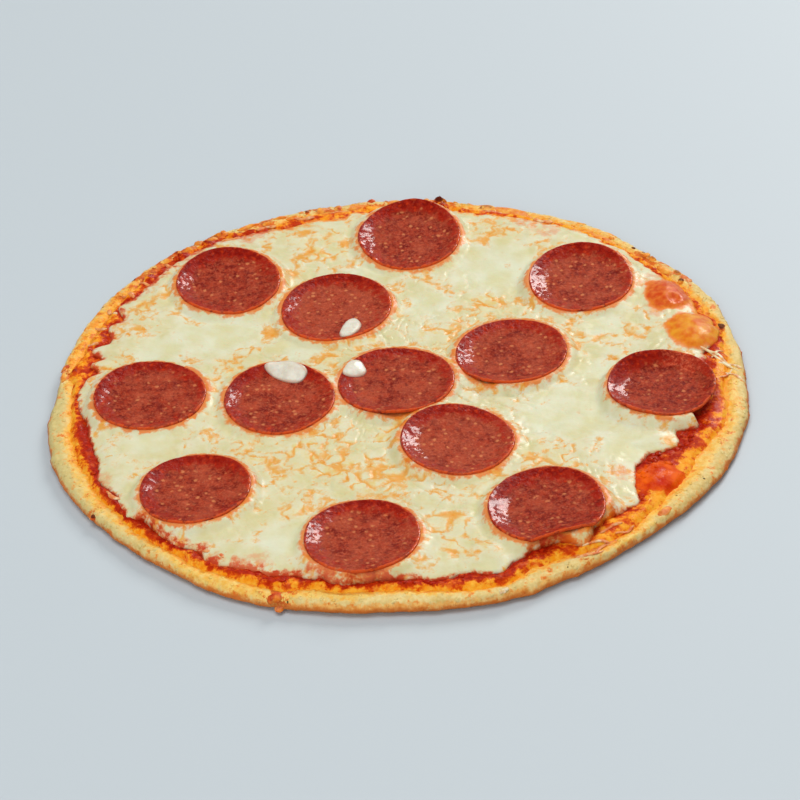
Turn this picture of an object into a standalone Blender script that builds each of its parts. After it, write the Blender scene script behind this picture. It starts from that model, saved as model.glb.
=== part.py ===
# Round thin-crust pizza: a crust disc, a skin of sauce, a sheet of melted cheese,
# thirteen cupped pepperoni slices and three drops of white cheese lying on slices.
# All layers are height fields on one polar plan, so facing facets stay parallel.
# Lengths in the tables are millimetres; the finished meshes are in metres, +Z up,
# with the origin at the centre of the flat underside.
import bpy
import numpy as np
from mathutils.bvhtree import BVHTree
from mathutils import Vector

for old in list(bpy.data.objects):
    bpy.data.objects.remove(old, do_unlink=True)

MM = 0.001
GAP = 0.3                 # clearance between neighbouring solids
STEPS = 120               # divisions round the plan
CRUST_MIDDLE = 2.6        # thickness of the base under the toppings
CRUST_AT_SAUCE = 4.4      # height of the base where the sauce ends
BACK_LIFT = 0.9           # the far side of the base is a little thicker
SAUCE_THICK = 0.9
SAUCE_EDGE = 0.35
CHEESE_THICK = 1.7
CHEESE_EDGE = 0.5
SLICE_THICK = 1.2
COLLAR = 1.4              # least width of bare sauce outside the cheese
RIM_LEAST = 3.6           # least width of bare rim outside the sauce

# Outline tables: degrees counter-clockwise from +X, radius.
CRUST_OUTLINE = (
    (6, 126.6), (19, 128.2), (28, 127.4), (36, 125.4), (49, 127.4), (59, 126.0), (74, 125.2),
    (90, 126.4), (105, 127.4), (120, 128.2), (135, 128.8), (144, 128.8), (155, 127.4),
    (165, 126.0), (177, 124.6), (185, 126.8), (197, 127.9), (210, 127.1), (216, 126.4),
    (229, 125.9), (242, 128.1), (258, 127.2), (268, 126.4), (285, 128.1), (298, 126.0),
    (310, 125.4), (324, 127.2), (345, 127.7), (355, 126.6))
SAUCE_OUTLINE = (
    (0, 120.5), (5, 122.0), (10, 123.2), (14, 121.0), (20, 121.0), (30, 120.0), (45, 120.4),
    (60, 119.8), (70, 119.0), (76, 119.4), (79, 121.6), (82, 119.6), (89, 119.6), (93, 121.6),
    (96, 119.6), (105, 120.8), (112, 119.8), (117, 120.8), (121, 122.8), (126, 123.4),
    (130, 123.9), (135, 123.4), (141, 123.0), (145, 121.5), (150, 121.4), (156, 120.0),
    (162, 119.7), (168, 119.8), (172, 121.8), (176, 118.9), (180, 118.0), (186, 118.1),
    (192, 119.4), (205, 119.8), (215, 119.9), (222, 121.0), (230, 121.1), (236, 122.4),
    (243, 122.6), (250, 123.4), (255, 120.2), (262, 120.2), (268, 119.7), (275, 121.2),
    (281, 123.5), (285, 123.8), (289, 120.1), (295, 119.6), (300, 121.9), (305, 122.0),
    (310, 121.0), (315, 119.5), (320, 119.0), (325, 119.0), (330, 117.2), (335, 118.8),
    (340, 120.7), (345, 120.7), (350, 118.6), (355, 119.8))
CHEESE_OUTLINE = (
    (0, 112.5), (3, 116.0), (5, 119.6), (9, 121.0), (12, 120.0), (14, 117.5), (17, 118.4),
    (20, 119.0), (24, 119.0), (28, 117.0), (32, 116.8), (40, 117.6), (50, 117.5), (60, 116.0),
    (68, 114.9), (76, 114.3), (84, 114.8), (90, 112.8), (95, 115.8), (100, 113.3),
    (105, 115.3), (110, 112.9), (115, 115.9), (120, 118.0), (125, 120.5), (130, 120.1),
    (135, 119.7), (141, 117.8), (144, 118.3), (147, 115.9), (151, 118.9), (155, 113.0),
    (158, 116.6), (162, 111.2), (166, 116.7), (168, 112.3), (170, 114.8), (172, 111.4),
    (176, 114.9), (182, 116.5), (188, 112.7), (195, 113.3), (203, 114.5), (206, 117.5),
    (212, 116.1), (218, 119.2), (221, 116.8), (227, 118.9), (233, 117.4), (238, 120.0),
    (245, 117.6), (255, 116.6), (260, 117.7), (267, 115.7), (270, 116.2), (275, 117.2),
    (280, 115.2), (283, 119.2), (287, 116.1), (292, 112.6), (296, 112.6), (300, 119.0),
    (304, 114.0), (310, 113.4), (313, 114.9), (316, 109.8), (319, 105.8), (323, 102.2),
    (327, 102.7), (329, 106.6), (331, 109.1), (335, 107.0), (338, 112.4), (341, 108.4),
    (345, 110.3), (350, 112.2), (355, 112.1))

# Slices: name, centre x, centre y, radius, cup height, rise to +X, rise to +Y,
# direction of the highest part of the edge in degrees, and how uneven the cup is.
SLICES = (
    ("pepperoni_01", 8.8, 90.6, 20.4, 2.0, 0.02, 0.10, 95, 0.45),
    ("pepperoni_02", -62.0, 65.3, 19.9, 2.2, 0.01, 0.08, 130, 0.40),
    ("pepperoni_03", -21.0, 44.4, 21.1, 1.8, 0.00, 0.01, 70, 0.35),
    ("pepperoni_04", 72.4, 52.2, 20.0, 2.2, 0.03, 0.07, 120, 0.40),
    ("pepperoni_05", 42.5, 7.5, 20.4, 2.0, 0.03, 0.05, 250, 0.45),
    ("pepperoni_06", -89.1, -6.3, 20.0, 1.4, -0.03, 0.04, 160, 0.30),
    ("pepperoni_07", -42.4, -12.3, 20.0, 1.8, 0.00, 0.04, 100, 0.35),
    ("pepperoni_08", -0.1, -6.0, 20.8, 1.6, 0.01, 0.04, 265, 0.45),
    ("pepperoni_09", 94.0, -21.4, 18.9, 3.2, 0.02, -0.02, 100, 0.40),
    ("pepperoni_10", 19.8, -44.1, 19.7, 1.8, -0.02, 0.04, 200, 0.30),
    ("pepperoni_11", -70.8, -64.0, 19.1, 1.9, -0.01, -0.03, 60, 0.35),
    ("pepperoni_12", -14.6, -95.1, 19.5, 1.6, 0.00, -0.05, 140, 0.30),
    ("pepperoni_13", 47.6, -85.2, 20.1, 2.2, 0.06, -0.03, 150, 0.35))

# Drops: name, slice it lies on, centre x, centre y, half length, half width, degrees, height.
DROPS = (
    ("cheese_drop_1", "pepperoni_03", -15.9, 30.4, 6.6, 4.2, 75, 1.5),
    ("cheese_drop_2", "pepperoni_07", -39.6, 2.6, 8.4, 4.2, -30, 1.6),
    ("cheese_drop_3", "pepperoni_08", -14.9, 2.6, 4.8, 4.1, 20, 1.5))

# Domes in the cheese and the sauce: x, y, half size along x, half size along y, height.
CHEESE_DOMES = ((104.0, 39.2, 10.0, 12.5, 3.4), (110.3, 13.2, 11.0, 11.5, 3.4))
SAUCE_DOMES = ((87.3, -70.2, 10.5, 10.0, 1.6),)
# Crags baked on at the edge of the sauce: degrees, radius, half size, height.
CRAGS = (
    (79, 119.5, 3.2, 3.4), (93, 119.5, 2.8, 1.6), (108, 119.0, 2.8, 1.0), (117, 119.5, 2.8, 1.1),
    (121, 121.0, 3.0, 1.5), (126, 122.0, 3.2, 2.2), (132, 122.4, 3.2, 2.0), (141, 121.5, 3.0, 1.5),
    (147, 120.0, 3.0, 1.1), (155, 118.0, 3.0, 1.0), (162, 117.5, 3.0, 1.0), (172, 120.0, 3.0, 1.4),
    (213, 119.0, 2.6, 0.8), (28, 119.0, 2.6, 1.2), (34, 119.0, 2.6, 1.0), (300, 120.0, 2.6, 1.0))


def ease(low, high, value):
    share = np.clip((value - low) / (high - low), 0.0, 1.0)
    return share * share * (3.0 - 2.0 * share)


def through(table, degrees):
    """Smooth closed curve through a table of (degrees, radius) without overshoot."""
    keys = np.array([row[0] for row in table], float)
    values = np.array([row[1] for row in table], float)
    order = np.argsort(keys)
    keys = keys[order]
    values = values[order]
    keys = np.concatenate([keys[-2:] - 360.0, keys, keys[:3] + 360.0])
    values = np.concatenate([values[-2:], values, values[:3]])
    run = np.diff(keys)
    secant = np.diff(values) / run
    slope = np.zeros_like(values)
    same = secant[1:] * secant[:-1] > 0.0
    slope[1:-1] = np.where(same, 2.0 * secant[1:] * secant[:-1] / np.where(
        same, secant[1:] + secant[:-1], 1.0), 0.0)
    angle = np.mod(degrees, 360.0)
    cell = np.clip(np.searchsorted(keys, angle, side="right") - 1, 0, len(run) - 1)
    t = (angle - keys[cell]) / run[cell]
    return ((2 * t ** 3 - 3 * t ** 2 + 1) * values[cell] + (t ** 3 - 2 * t ** 2 + t) * run[cell]
            * slope[cell] + (3 * t ** 2 - 2 * t ** 3) * values[cell + 1]
            + (t ** 3 - t ** 2) * run[cell] * slope[cell + 1])


def scatter(column, row, seed):
    """Repeatable value between -1 and 1 for a lattice point."""
    turn = np.sin(column * 127.1 + row * 311.7 + seed * 74.7) * 43758.5453
    return 2.0 * (turn - np.floor(turn)) - 1.0


def lumps(x, y, size, seed):
    """Smooth uneven field between -1 and 1 with the given spacing."""
    column = np.floor(x / size)
    row = np.floor(y / size)
    u = ease(0.0, 1.0, x / size - column)
    v = ease(0.0, 1.0, y / size - row)
    low = scatter(column, row, seed) * (1 - u) + scatter(column + 1, row, seed) * u
    high = scatter(column, row + 1, seed) * (1 - u) + scatter(column + 1, row + 1, seed) * u
    return low * (1 - v) + high * v


def outlines(degrees):
    """Radii where the cheese, the sauce and the crust end at each angle."""
    crust = through(CRUST_OUTLINE, degrees)
    sauce = np.minimum(through(SAUCE_OUTLINE, degrees), crust - RIM_LEAST)
    cheese = np.minimum(through(CHEESE_OUTLINE, degrees), sauce - COLLAR)
    return cheese, sauce, crust


def plan(x, y):
    degrees = np.degrees(np.arctan2(y, x))
    return (np.hypot(x, y), degrees) + outlines(degrees)


def crust_top(x, y):
    r, degrees, cheese, sauce, crust = plan(x, y)
    turn = np.radians(degrees)
    inner = CRUST_MIDDLE + (CRUST_AT_SAUCE - CRUST_MIDDLE) * ease(62.0, sauce + 6.0, r) / ease(
        62.0, sauce + 6.0, sauce)
    across = np.clip((r - sauce) / (crust - sauce), 0.0, 1.0)
    wave = 0.3 * lumps(150 + 40 * np.cos(turn), 150 + 40 * np.sin(turn), 9.0, 3)
    rim = CRUST_AT_SAUCE + (0.9 + wave) * ease(0.0, 0.4, across) - 0.5 * ease(0.35, 0.8, across)
    rim = rim - 2.6 * (np.clip((across - 0.7) / 0.3, 0.0, 1.0)) ** 2
    back = BACK_LIFT * ease(55.0, 115.0, r) * ease(0.1, 1.0, np.sin(turn))
    back = back * (1.0 - ease(0.6, 1.0, across))
    return np.where(r <= sauce, inner, rim) + back


def domes(x, y, rows):
    total = np.zeros_like(x)
    for cx, cy, wide, deep, high in rows:
        away = np.hypot((x - cx) / wide, (y - cy) / deep)
        total = total + high * np.sqrt(np.clip(1.0 - away ** 2.4, 0.0, 1.0)) * ease(1.0, 0.8, away)
    return total


def sauce_top(x, y):
    r, degrees, cheese, sauce, crust = plan(x, y)
    thick = SAUCE_THICK + (SAUCE_EDGE - SAUCE_THICK) * ease(sauce - 2.5, sauce, r)
    bead = 0.7 * np.exp(-((r - 0.5 * (cheese + sauce)) / 1.6) ** 2)
    rough = 0.35 * (1.0 + lumps(x, y, 5.0, 7))
    bare = ease(cheese - 0.5, cheese + 0.8, r) * ease(sauce, sauce - 1.5, r)
    top = crust_top(x, y) + GAP + thick + bare * (bead + rough + domes(x, y, SAUCE_DOMES))
    for angle, radius, size, high in CRAGS:
        cx = radius * np.cos(np.radians(angle))
        cy = radius * np.sin(np.radians(angle))
        top = top + high * bare * np.exp(-((x - cx) ** 2 + (y - cy) ** 2) / size ** 2)
    return top


def open_cheese(x, y):
    """Top of the cheese before the slices press it flat."""
    r, degrees, cheese, sauce, crust = plan(x, y)
    thick = CHEESE_THICK + (CHEESE_EDGE - CHEESE_THICK) * ease(cheese - 9.0, cheese, r)
    swell = 0.45 * lumps(x, y, 17.0, 11) * ease(cheese, cheese - 8.0, r)
    under = crust_top(x, y) + GAP + SAUCE_THICK
    return under + GAP + thick + swell + domes(x, y, CHEESE_DOMES)


def bed(row):
    """Height of the flat place under the middle of a slice."""
    x = np.array([row[1]])
    y = np.array([row[2]])
    return float(open_cheese(x, y)[0]) - 0.1


def cheese_top(x, y):
    top = open_cheese(x, y)
    most = np.zeros_like(x)
    total = np.zeros_like(x) + 1e-9
    flat = np.zeros_like(x)
    for row in SLICES:
        name, cx, cy, radius, cup, rise_x, rise_y, high, uneven = row
        near = ease(radius + 6.5, radius + 0.5, np.hypot(x - cx, y - cy))
        share = near ** 4
        flat = flat + share * (bed(row) + rise_x * (x - cx) + rise_y * (y - cy))
        total = total + share
        most = np.maximum(most, near)
    pressed = top * (1.0 - most) + flat / total * most
    floor = crust_top(x, y) + GAP + SAUCE_THICK + GAP + CHEESE_EDGE
    return np.maximum(pressed, floor)


def slice_edge(row, angle):
    """Radius of a slice at an angle: nearly round, a little uneven."""
    name, cx, cy, radius, cup, rise_x, rise_y, high, uneven = row
    wobble = np.cos(2 * angle + cx) * 0.35 + np.cos(3 * angle + cy) * 0.2
    return radius + wobble


def slice_top(row, x, y):
    """Upper surface of a slice above its own flat middle."""
    name, cx, cy, radius, cup, rise_x, rise_y, high, uneven = row
    angle = np.arctan2(y - cy, x - cx)
    share = np.clip(np.hypot(x - cx, y - cy) / slice_edge(row, angle), 0.0, 1.05)
    lean = 1.0 + uneven * np.cos(angle - np.radians(high)) + 0.15 * np.cos(3 * angle + cx)
    curl = 0.25 * share ** 2 + 0.75 * ease(0.62, 1.06, share)
    return cup * lean * curl + rise_x * (x - cx) + rise_y * (y - cy)


def material(name, colour, rough):
    made = bpy.data.materials.new(name)
    made.use_nodes = True
    shader = made.node_tree.nodes["Principled BSDF"]
    shader.inputs["Base Color"].default_value = (colour[0], colour[1], colour[2], 1.0)
    shader.inputs["Roughness"].default_value = rough
    return made


def body(name, rings, first, last, paint, flip=()):
    """Closed body from rings of points; first and last are pole points or None for a flat face.

    Steps named in flip take the other diagonal, so they match the facets of the layer below.
    """
    count = len(rings[0])
    points = [tuple(p) for ring in rings for p in ring]
    faces = []
    for i in range(len(rings) - 1):
        for j in range(count):
            k = (j + 1) % count
            a = i * count + j
            b = (i + 1) * count + j
            c = (i + 1) * count + k
            d = i * count + k
            if i in flip:
                faces += [(b, c, d), (b, d, a)]
            else:
                faces += [(a, b, c), (a, c, d)]
    if first is not None:
        points.append(tuple(first))
        pole = len(points) - 1
        faces += [(pole, j, (j + 1) % count) for j in range(count)]
    end = (len(rings) - 1) * count
    if last is not None:
        points.append(tuple(last))
        pole = len(points) - 1
        faces += [(pole, end + (j + 1) % count, end + j) for j in range(count)]
    else:
        faces.append(tuple(end + j for j in reversed(range(count))))
    mesh = bpy.data.meshes.new(name)
    mesh.from_pydata([(p[0] * MM, p[1] * MM, p[2] * MM) for p in points], [], faces)
    mesh.materials.append(paint)
    mesh.validate()
    mesh.update()
    made = bpy.data.objects.new(name, mesh)
    bpy.context.scene.collection.objects.link(made)
    return made


def ring(radius, angles, height):
    """One ring of points: radius and height are numbers or arrays; height may be a function."""
    x = radius * np.cos(angles)
    y = radius * np.sin(angles)
    z = height(x, y) if callable(height) else np.zeros_like(x) + height
    return np.stack([x, y, z], -1)


def pole(height):
    zero = np.zeros(1)
    return (0.0, 0.0, float(height(zero, zero)[0]))


ANGLES = np.radians(np.arange(STEPS) * 360.0 / STEPS)
CHEESE_R, SAUCE_R, CRUST_R = outlines(np.degrees(ANGLES))
HIDDEN = [45.0 + 0 * ANGLES, 90.0 + 0 * ANGLES, 90.0 + 0.5 * (CHEESE_R - 90.0), CHEESE_R]
BARE = [0.5 * (CHEESE_R + SAUCE_R), SAUCE_R]

crust_paint = material("crust", (0.72, 0.53, 0.24), 0.75)
sauce_paint = material("sauce", (0.50, 0.10, 0.02), 0.40)
cheese_paint = material("cheese", (0.80, 0.70, 0.46), 0.40)
slice_paint = material("pepperoni", (0.40, 0.08, 0.035), 0.45)
drop_paint = material("cheese_drop", (0.80, 0.76, 0.62), 0.35)

# Crust: top from the middle outwards, the rounded rim, the side and the flat underside.
rings = [ring(r, ANGLES, crust_top) for r in HIDDEN + BARE]
for share in (0.35, 0.72, 0.92):
    rings.append(ring(SAUCE_R + share * (CRUST_R - SAUCE_R), ANGLES, crust_top))
rings.append(ring(CRUST_R, ANGLES, 2.0))
rings.append(ring(CRUST_R - 0.7, ANGLES, 0.6))
rings.append(ring(CRUST_R - 2.0, ANGLES, 0.0))
body("crust", rings, pole(crust_top), None, crust_paint)

# Sauce: a skin that follows the crust, ending in a raised rough bead.


def above_crust(x, y):
    return crust_top(x, y) + GAP


tops = [ring(r, ANGLES, sauce_top) for r in HIDDEN + BARE]
unders = [ring(r, ANGLES, above_crust) for r in reversed(HIDDEN + BARE)]
body("sauce", tops + unders, pole(sauce_top), pole(above_crust), sauce_paint,
     flip=range(len(tops), len(tops) + len(unders)))

# Cheese: fine relief above, the shape of the sauce below.


def above_sauce(x, y):
    return sauce_top(x, y) + GAP


fine = [r + 0 * ANGLES for r in (10.0, 21.0, 32.0, 43.0, 54.0, 65.0, 76.0, 86.0)]
fine += [86.0 + share * (CHEESE_R - 86.0) for share in (0.34, 0.67, 1.0)]
tops = [ring(r, ANGLES, cheese_top) for r in fine]
unders = [ring(r, ANGLES, above_sauce) for r in reversed(HIDDEN)]
body("cheese", tops + unders, pole(cheese_top), pole(above_sauce), cheese_paint,
     flip=range(len(tops), len(tops) + len(unders)))


def surface(name):
    """Search tree of a finished mesh, in millimetres."""
    mesh = bpy.data.objects[name].data
    return BVHTree.FromPolygons([v.co / MM for v in mesh.vertices],
                                [tuple(p.vertices) for p in mesh.polygons])


def top_of(trees, x, y):
    """Height of the highest of several surfaces above a point, or None."""
    best = None
    for tree in trees:
        hit = tree.ray_cast(Vector((x, y, 60.0)), Vector((0.0, 0.0, -1.0)))[0]
        if hit is not None and (best is None or hit.z > best):
            best = hit.z
    return best


GROUND = [surface("crust"), surface("sauce"), surface("cheese")]
SLICE_STEPS = 18
TURN = np.radians(np.arange(SLICE_STEPS) * 360.0 / SLICE_STEPS)


def slice_ring(row, share, lower):
    name, cx, cy = row[0], row[1], row[2]
    radius = slice_edge(row, TURN) * share
    x = cx + radius * np.cos(TURN)
    y = cy + radius * np.sin(TURN)
    return np.stack([x, y, slice_top(row, x, y) - lower], -1)


for row in SLICES:
    name, cx, cy = row[0], row[1], row[2]
    rings = [slice_ring(row, 0.5, 0.0), slice_ring(row, 0.78, 0.0), slice_ring(row, 0.95, 0.0),
             slice_ring(row, 1.0, 0.35 * SLICE_THICK), slice_ring(row, 0.985, SLICE_THICK),
             slice_ring(row, 0.8, SLICE_THICK), slice_ring(row, 0.5, SLICE_THICK)]
    lift = -100.0
    for share in np.linspace(0.0, 1.02, 14):
        spots = slice_ring(row, share, SLICE_THICK)
        for x, y, z in spots:
            ground = top_of(GROUND, x, y)
            if ground is not None:
                lift = max(lift, ground - z)
    lift += GAP
    for one in rings:
        one[:, 2] += lift
    body(name, rings, (cx, cy, lift), (cx, cy, lift - SLICE_THICK), slice_paint)

DROP_STEPS = 14
for name, under, cx, cy, long, wide, degrees, high in DROPS:
    tree = [surface(under)]
    carrier = [row for row in SLICES if row[0] == under][0]
    turn = np.radians(np.arange(DROP_STEPS) * 360.0 / DROP_STEPS)
    lean = np.radians(degrees)
    layers = []
    for share, rise in ((0.45, 0.9), (0.82, 0.6), (1.0, 0.22), (0.96, 0.0), (0.5, 0.0)):
        u = long * share * np.cos(turn)
        v = wide * share * np.sin(turn) * (1.0 + 0.12 * np.cos(turn))
        layer = []
        for x, y in zip(cx + u * np.cos(lean) - v * np.sin(lean),
                        cy + u * np.sin(lean) + v * np.cos(lean)):
            away = np.hypot(x - carrier[1], y - carrier[2])
            keep = min(1.0, 0.955 * carrier[3] / max(away, 1e-6))
            ground = top_of(tree, carrier[1] + keep * (x - carrier[1]),
                            carrier[2] + keep * (y - carrier[2]))
            layer.append((x, y, ground + GAP + 0.1 + rise * high))
        layers.append(np.array(layer))
    middle = top_of(tree, cx, cy) + GAP + 0.1
    body(name, layers, (cx, cy, middle + high), (cx, cy, middle), drop_paint)

bpy.context.view_layer.update()
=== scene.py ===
import math
from collections import namedtuple
import bmesh
import bpy
import numpy as np
from mathutils import Matrix, Vector


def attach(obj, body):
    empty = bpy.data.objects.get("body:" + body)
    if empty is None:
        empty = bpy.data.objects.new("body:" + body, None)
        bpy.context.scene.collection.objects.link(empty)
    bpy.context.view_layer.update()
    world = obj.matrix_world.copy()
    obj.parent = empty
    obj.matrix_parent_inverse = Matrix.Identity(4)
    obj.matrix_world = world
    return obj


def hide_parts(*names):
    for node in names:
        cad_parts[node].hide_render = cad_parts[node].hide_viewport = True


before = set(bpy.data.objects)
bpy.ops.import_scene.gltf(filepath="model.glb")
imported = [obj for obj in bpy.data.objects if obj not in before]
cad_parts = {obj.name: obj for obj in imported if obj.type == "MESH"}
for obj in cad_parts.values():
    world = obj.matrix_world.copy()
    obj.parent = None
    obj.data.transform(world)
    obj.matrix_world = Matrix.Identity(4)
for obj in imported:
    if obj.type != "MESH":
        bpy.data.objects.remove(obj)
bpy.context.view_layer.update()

MM = 0.001

# Heights and widths in millimetres, shared with the part's solids.
CRUST_MIDDLE = 2.6
CRUST_AT_SAUCE = 4.4
BACK_LIFT = 0.9
SAUCE_THICK = 1.2
CHEESE_THICK = 2.0
SLICE_THICK = 1.2
COLLAR = 1.4
RIM_LEAST = 3.6
# Where the middle of the crust begins to rise, how deep the foot of the rim is tucked in, the
# height of a slice's bed above the crust, and the gap between a slice and its bed.
HOLLOW = 62.0
RIM_TUCK = 2.2
BED_HEIGHT = 3.25
GAP = 0.05

# Where each layer ends round the pizza, as (degrees, radius). Oil is what soaked into the dough.
CRUST_OUTLINE = (
    (6, 126.6), (19, 128.2), (28, 127.4), (36, 125.4), (49, 127.4), (59, 126.0), (74, 125.2), (90, 126.4),
    (105, 127.4), (120, 128.2), (135, 128.8), (144, 128.8), (155, 127.4), (165, 126.0), (177, 124.6),
    (185, 126.8), (197, 127.9), (210, 127.1), (216, 126.4), (229, 125.9), (242, 128.1), (258, 127.2),
    (268, 126.4), (285, 128.1), (298, 126.0), (310, 125.4), (324, 127.2), (345, 127.7), (355, 126.6))
SAUCE_OUTLINE = (
    (0, 120.5), (5, 122.0), (10, 123.2), (14, 121.0), (20, 121.0), (30, 120.0), (45, 120.4), (60, 119.8),
    (70, 119.0), (76, 119.4), (79, 121.6), (82, 119.6), (89, 119.6), (93, 121.6), (96, 119.6),
    (105, 120.8), (112, 119.8), (117, 120.8), (121, 122.8), (126, 123.4), (130, 123.9), (135, 123.4),
    (141, 123.0), (145, 121.5), (150, 121.4), (156, 120.0), (162, 119.7), (168, 119.8), (172, 121.8),
    (176, 118.9), (180, 118.0), (186, 118.1), (192, 119.4), (205, 119.8), (215, 119.9), (222, 121.0),
    (230, 121.1), (236, 122.4), (243, 122.6), (250, 123.4), (255, 120.2), (262, 120.2), (268, 119.7),
    (275, 121.2), (281, 123.5), (285, 123.8), (289, 120.1), (295, 119.6), (300, 121.9), (305, 122.0),
    (310, 121.0), (315, 119.5), (320, 119.0), (325, 119.0), (330, 117.2), (335, 118.8), (340, 120.7),
    (345, 120.7), (350, 118.6), (355, 119.8))
CHEESE_OUTLINE = (
    (0, 112.5), (3, 116.0), (5, 119.6), (9, 121.0), (12, 120.0), (14, 117.5), (17, 118.4), (20, 119.0),
    (24, 119.0), (28, 117.0), (32, 116.8), (40, 117.6), (50, 117.5), (60, 116.0), (68, 114.9),
    (76, 114.3), (84, 114.8), (90, 112.8), (95, 115.8), (100, 113.3), (105, 115.3), (110, 112.9),
    (115, 115.9), (120, 118.0), (125, 120.5), (130, 120.1), (135, 119.7), (141, 117.8), (144, 118.3),
    (147, 115.9), (151, 118.9), (155, 113.0), (158, 116.6), (162, 111.2), (166, 116.7), (168, 112.3),
    (170, 114.8), (172, 111.4), (176, 114.9), (182, 116.5), (188, 112.7), (195, 113.3), (203, 114.5),
    (206, 117.5), (212, 116.1), (218, 119.2), (221, 116.8), (227, 118.9), (233, 117.4), (238, 120.0),
    (245, 117.6), (255, 116.6), (260, 117.7), (267, 115.7), (270, 116.2), (275, 117.2), (280, 115.2),
    (283, 119.2), (287, 116.1), (292, 112.6), (296, 112.6), (300, 119.0), (304, 114.0), (310, 113.4),
    (313, 114.9), (316, 109.8), (319, 105.8), (323, 102.2), (327, 102.7), (329, 106.6), (331, 109.1),
    (335, 107.0), (338, 112.4), (341, 108.4), (345, 110.3), (350, 112.2), (355, 112.1))
OIL_OUTLINE = (
    (0, 123.0), (10, 124.0), (16, 123.5), (28, 123.0), (45, 123.0), (60, 121.5), (76, 122.0), (90, 121.5),
    (105, 122.5), (120, 124.5), (130, 125.5), (140, 125.0), (150, 123.5), (160, 123.0), (172, 124.0),
    (180, 119.5), (186, 120.0), (192, 122.0), (200, 122.5), (210, 124.0), (222, 123.0), (229, 123.5),
    (236, 127.5), (244, 128.0), (250, 128.0), (255, 124.5), (260, 125.0), (268, 122.0), (274, 124.0),
    (281, 124.5), (290, 122.5), (297, 119.5), (302, 125.0), (310, 124.5), (316, 122.0), (323, 122.5),
    (330, 122.5), (335, 122.5), (340, 124.5), (346, 124.0), (352, 123.0))

# A slice has a centre, a radius, a cup height, a rise to +X and to +Y, the direction of the highest
# part of its edge, how uneven its cup is, lifted lips as (direction, half width in degrees, height),
# a straight side as (direction, share), how light its meat is, and how wet its far wall is.
Slice = namedtuple("Slice", "x y radius cup rise_x rise_y high uneven lips side light wet")
SLICES = {"pepperoni_%02d" % number: Slice(*row) for number, row in enumerate((
    (8.8, 90.6, 20.4, 2.0, 0.02, 0.1, 95, 0.45, ((80, 30, 0.7),), None, -0.5, 0.8),
    (-62.0, 65.3, 19.9, 2.2, 0.01, 0.08, 130, 0.4, ((120, 40, 0.5),), None, -0.4, 0.8),
    (-21.0, 44.4, 21.1, 1.8, 0.0, 0.01, 70, 0.35, ((95, 35, 0.6),), None, 1.0, 0.4),
    (72.4, 52.2, 20.0, 2.2, 0.03, 0.07, 120, 0.4, ((100, 40, 0.6),), None, 0.1, 1.0),
    (42.5, 7.5, 20.4, 2.0, 0.03, 0.05, 250, 0.45, ((238, 26, 0.7),), None, 0.4, 0.35),
    (-89.1, -6.3, 20.0, 1.4, -0.03, 0.04, 160, 0.3, ((150, 40, 0.4),), None, -0.1, 0.4),
    (-42.4, -12.3, 20.0, 1.8, 0.0, 0.04, 100, 0.35, ((60, 30, 0.4),), None, 0.0, 0.8),
    (-0.1, -6.0, 20.8, 1.6, 0.01, 0.04, 265, 0.45, ((268, 30, 0.8),), None, 0.1, 0.3),
    (94.0, -21.4, 18.9, 3.2, 0.02, -0.02, 100, 0.4, ((95, 60, 0.9), (235, 30, 0.5)), None, -0.8, 1.3),
    (19.8, -44.1, 19.7, 1.8, -0.02, 0.04, 200, 0.3, ((120, 40, 0.4),), None, 0.9, 0.9),
    (-70.8, -64.0, 19.1, 1.9, -0.01, -0.03, 60, 0.35, ((130, 40, 0.4),), None, 0.1, 1.0),
    (-14.6, -95.1, 19.5, 1.6, 0.0, -0.05, 140, 0.3, ((70, 35, 0.5),), None, 0.4, 0.7),
    (47.6, -85.2, 20.1, 2.2, 0.06, -0.03, 150, 0.35, ((130, 40, 0.6), (288, 34, 0.8)),
     (285, 0.83), -0.5, 1.4)), 1)}

# Drops of white cheese: slice under it, centre x, centre y, half length, half width, turn in
# degrees, height.
DROPS = {
    "cheese_drop_1": ("pepperoni_03", -15.9, 30.4, 7.6, 3.4, 72, 1.5),
    "cheese_drop_2": ("pepperoni_07", -39.6, 2.6, 8.4, 4.2, -30, 1.6),
    "cheese_drop_3": ("pepperoni_08", -14.9, 2.6, 4.8, 4.1, 20, 1.5)}

# Blisters and domes: x, y, half size along x, half size along y, height.
CHEESE_DOMES = ((103.8, 39.2, 10.5, 12.5, 2.4), (110.4, 15.0, 11.5, 13.0, 2.3))
SAUCE_DOMES = ((87.3, -70.2, 10.5, 10.0, 1.6),)
# Crater of a burst bubble on the first blister.
CRATER = (105.8, 34.4)
# Crags on the sauce: degrees, radius, half size, height.
CRAGS = (
    (79, 119.5, 2.2, 2.0), (93, 119.5, 2.0, 1.4), (108, 119.0, 2.0, 1.0), (117, 119.5, 2.0, 1.1),
    (121, 121.0, 2.2, 1.5), (126, 122.0, 2.4, 2.2), (132, 122.4, 2.4, 2.0), (141, 121.5, 2.4, 1.5),
    (147, 120.0, 2.0, 1.1), (155, 118.0, 2.4, 1.0), (162, 117.5, 2.4, 1.0), (172, 120.0, 2.2, 1.4),
    (213, 119.0, 2.0, 0.8), (28, 119.0, 2.0, 1.2), (34, 119.0, 2.0, 1.0), (300, 120.0, 2.0, 1.0))
# Scorched places on the rim: degrees, radius, size.
RIM_SCORCHES = (
    (36, 125, 1.3), (39, 124.6, 1.2), (105, 124, 1.3), (148, 127, 1.2), (213, 128, 1.6),
    (121, 126.5, 1.4), (142, 127.5, 1.6), (128, 127.5, 1.5))

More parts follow.
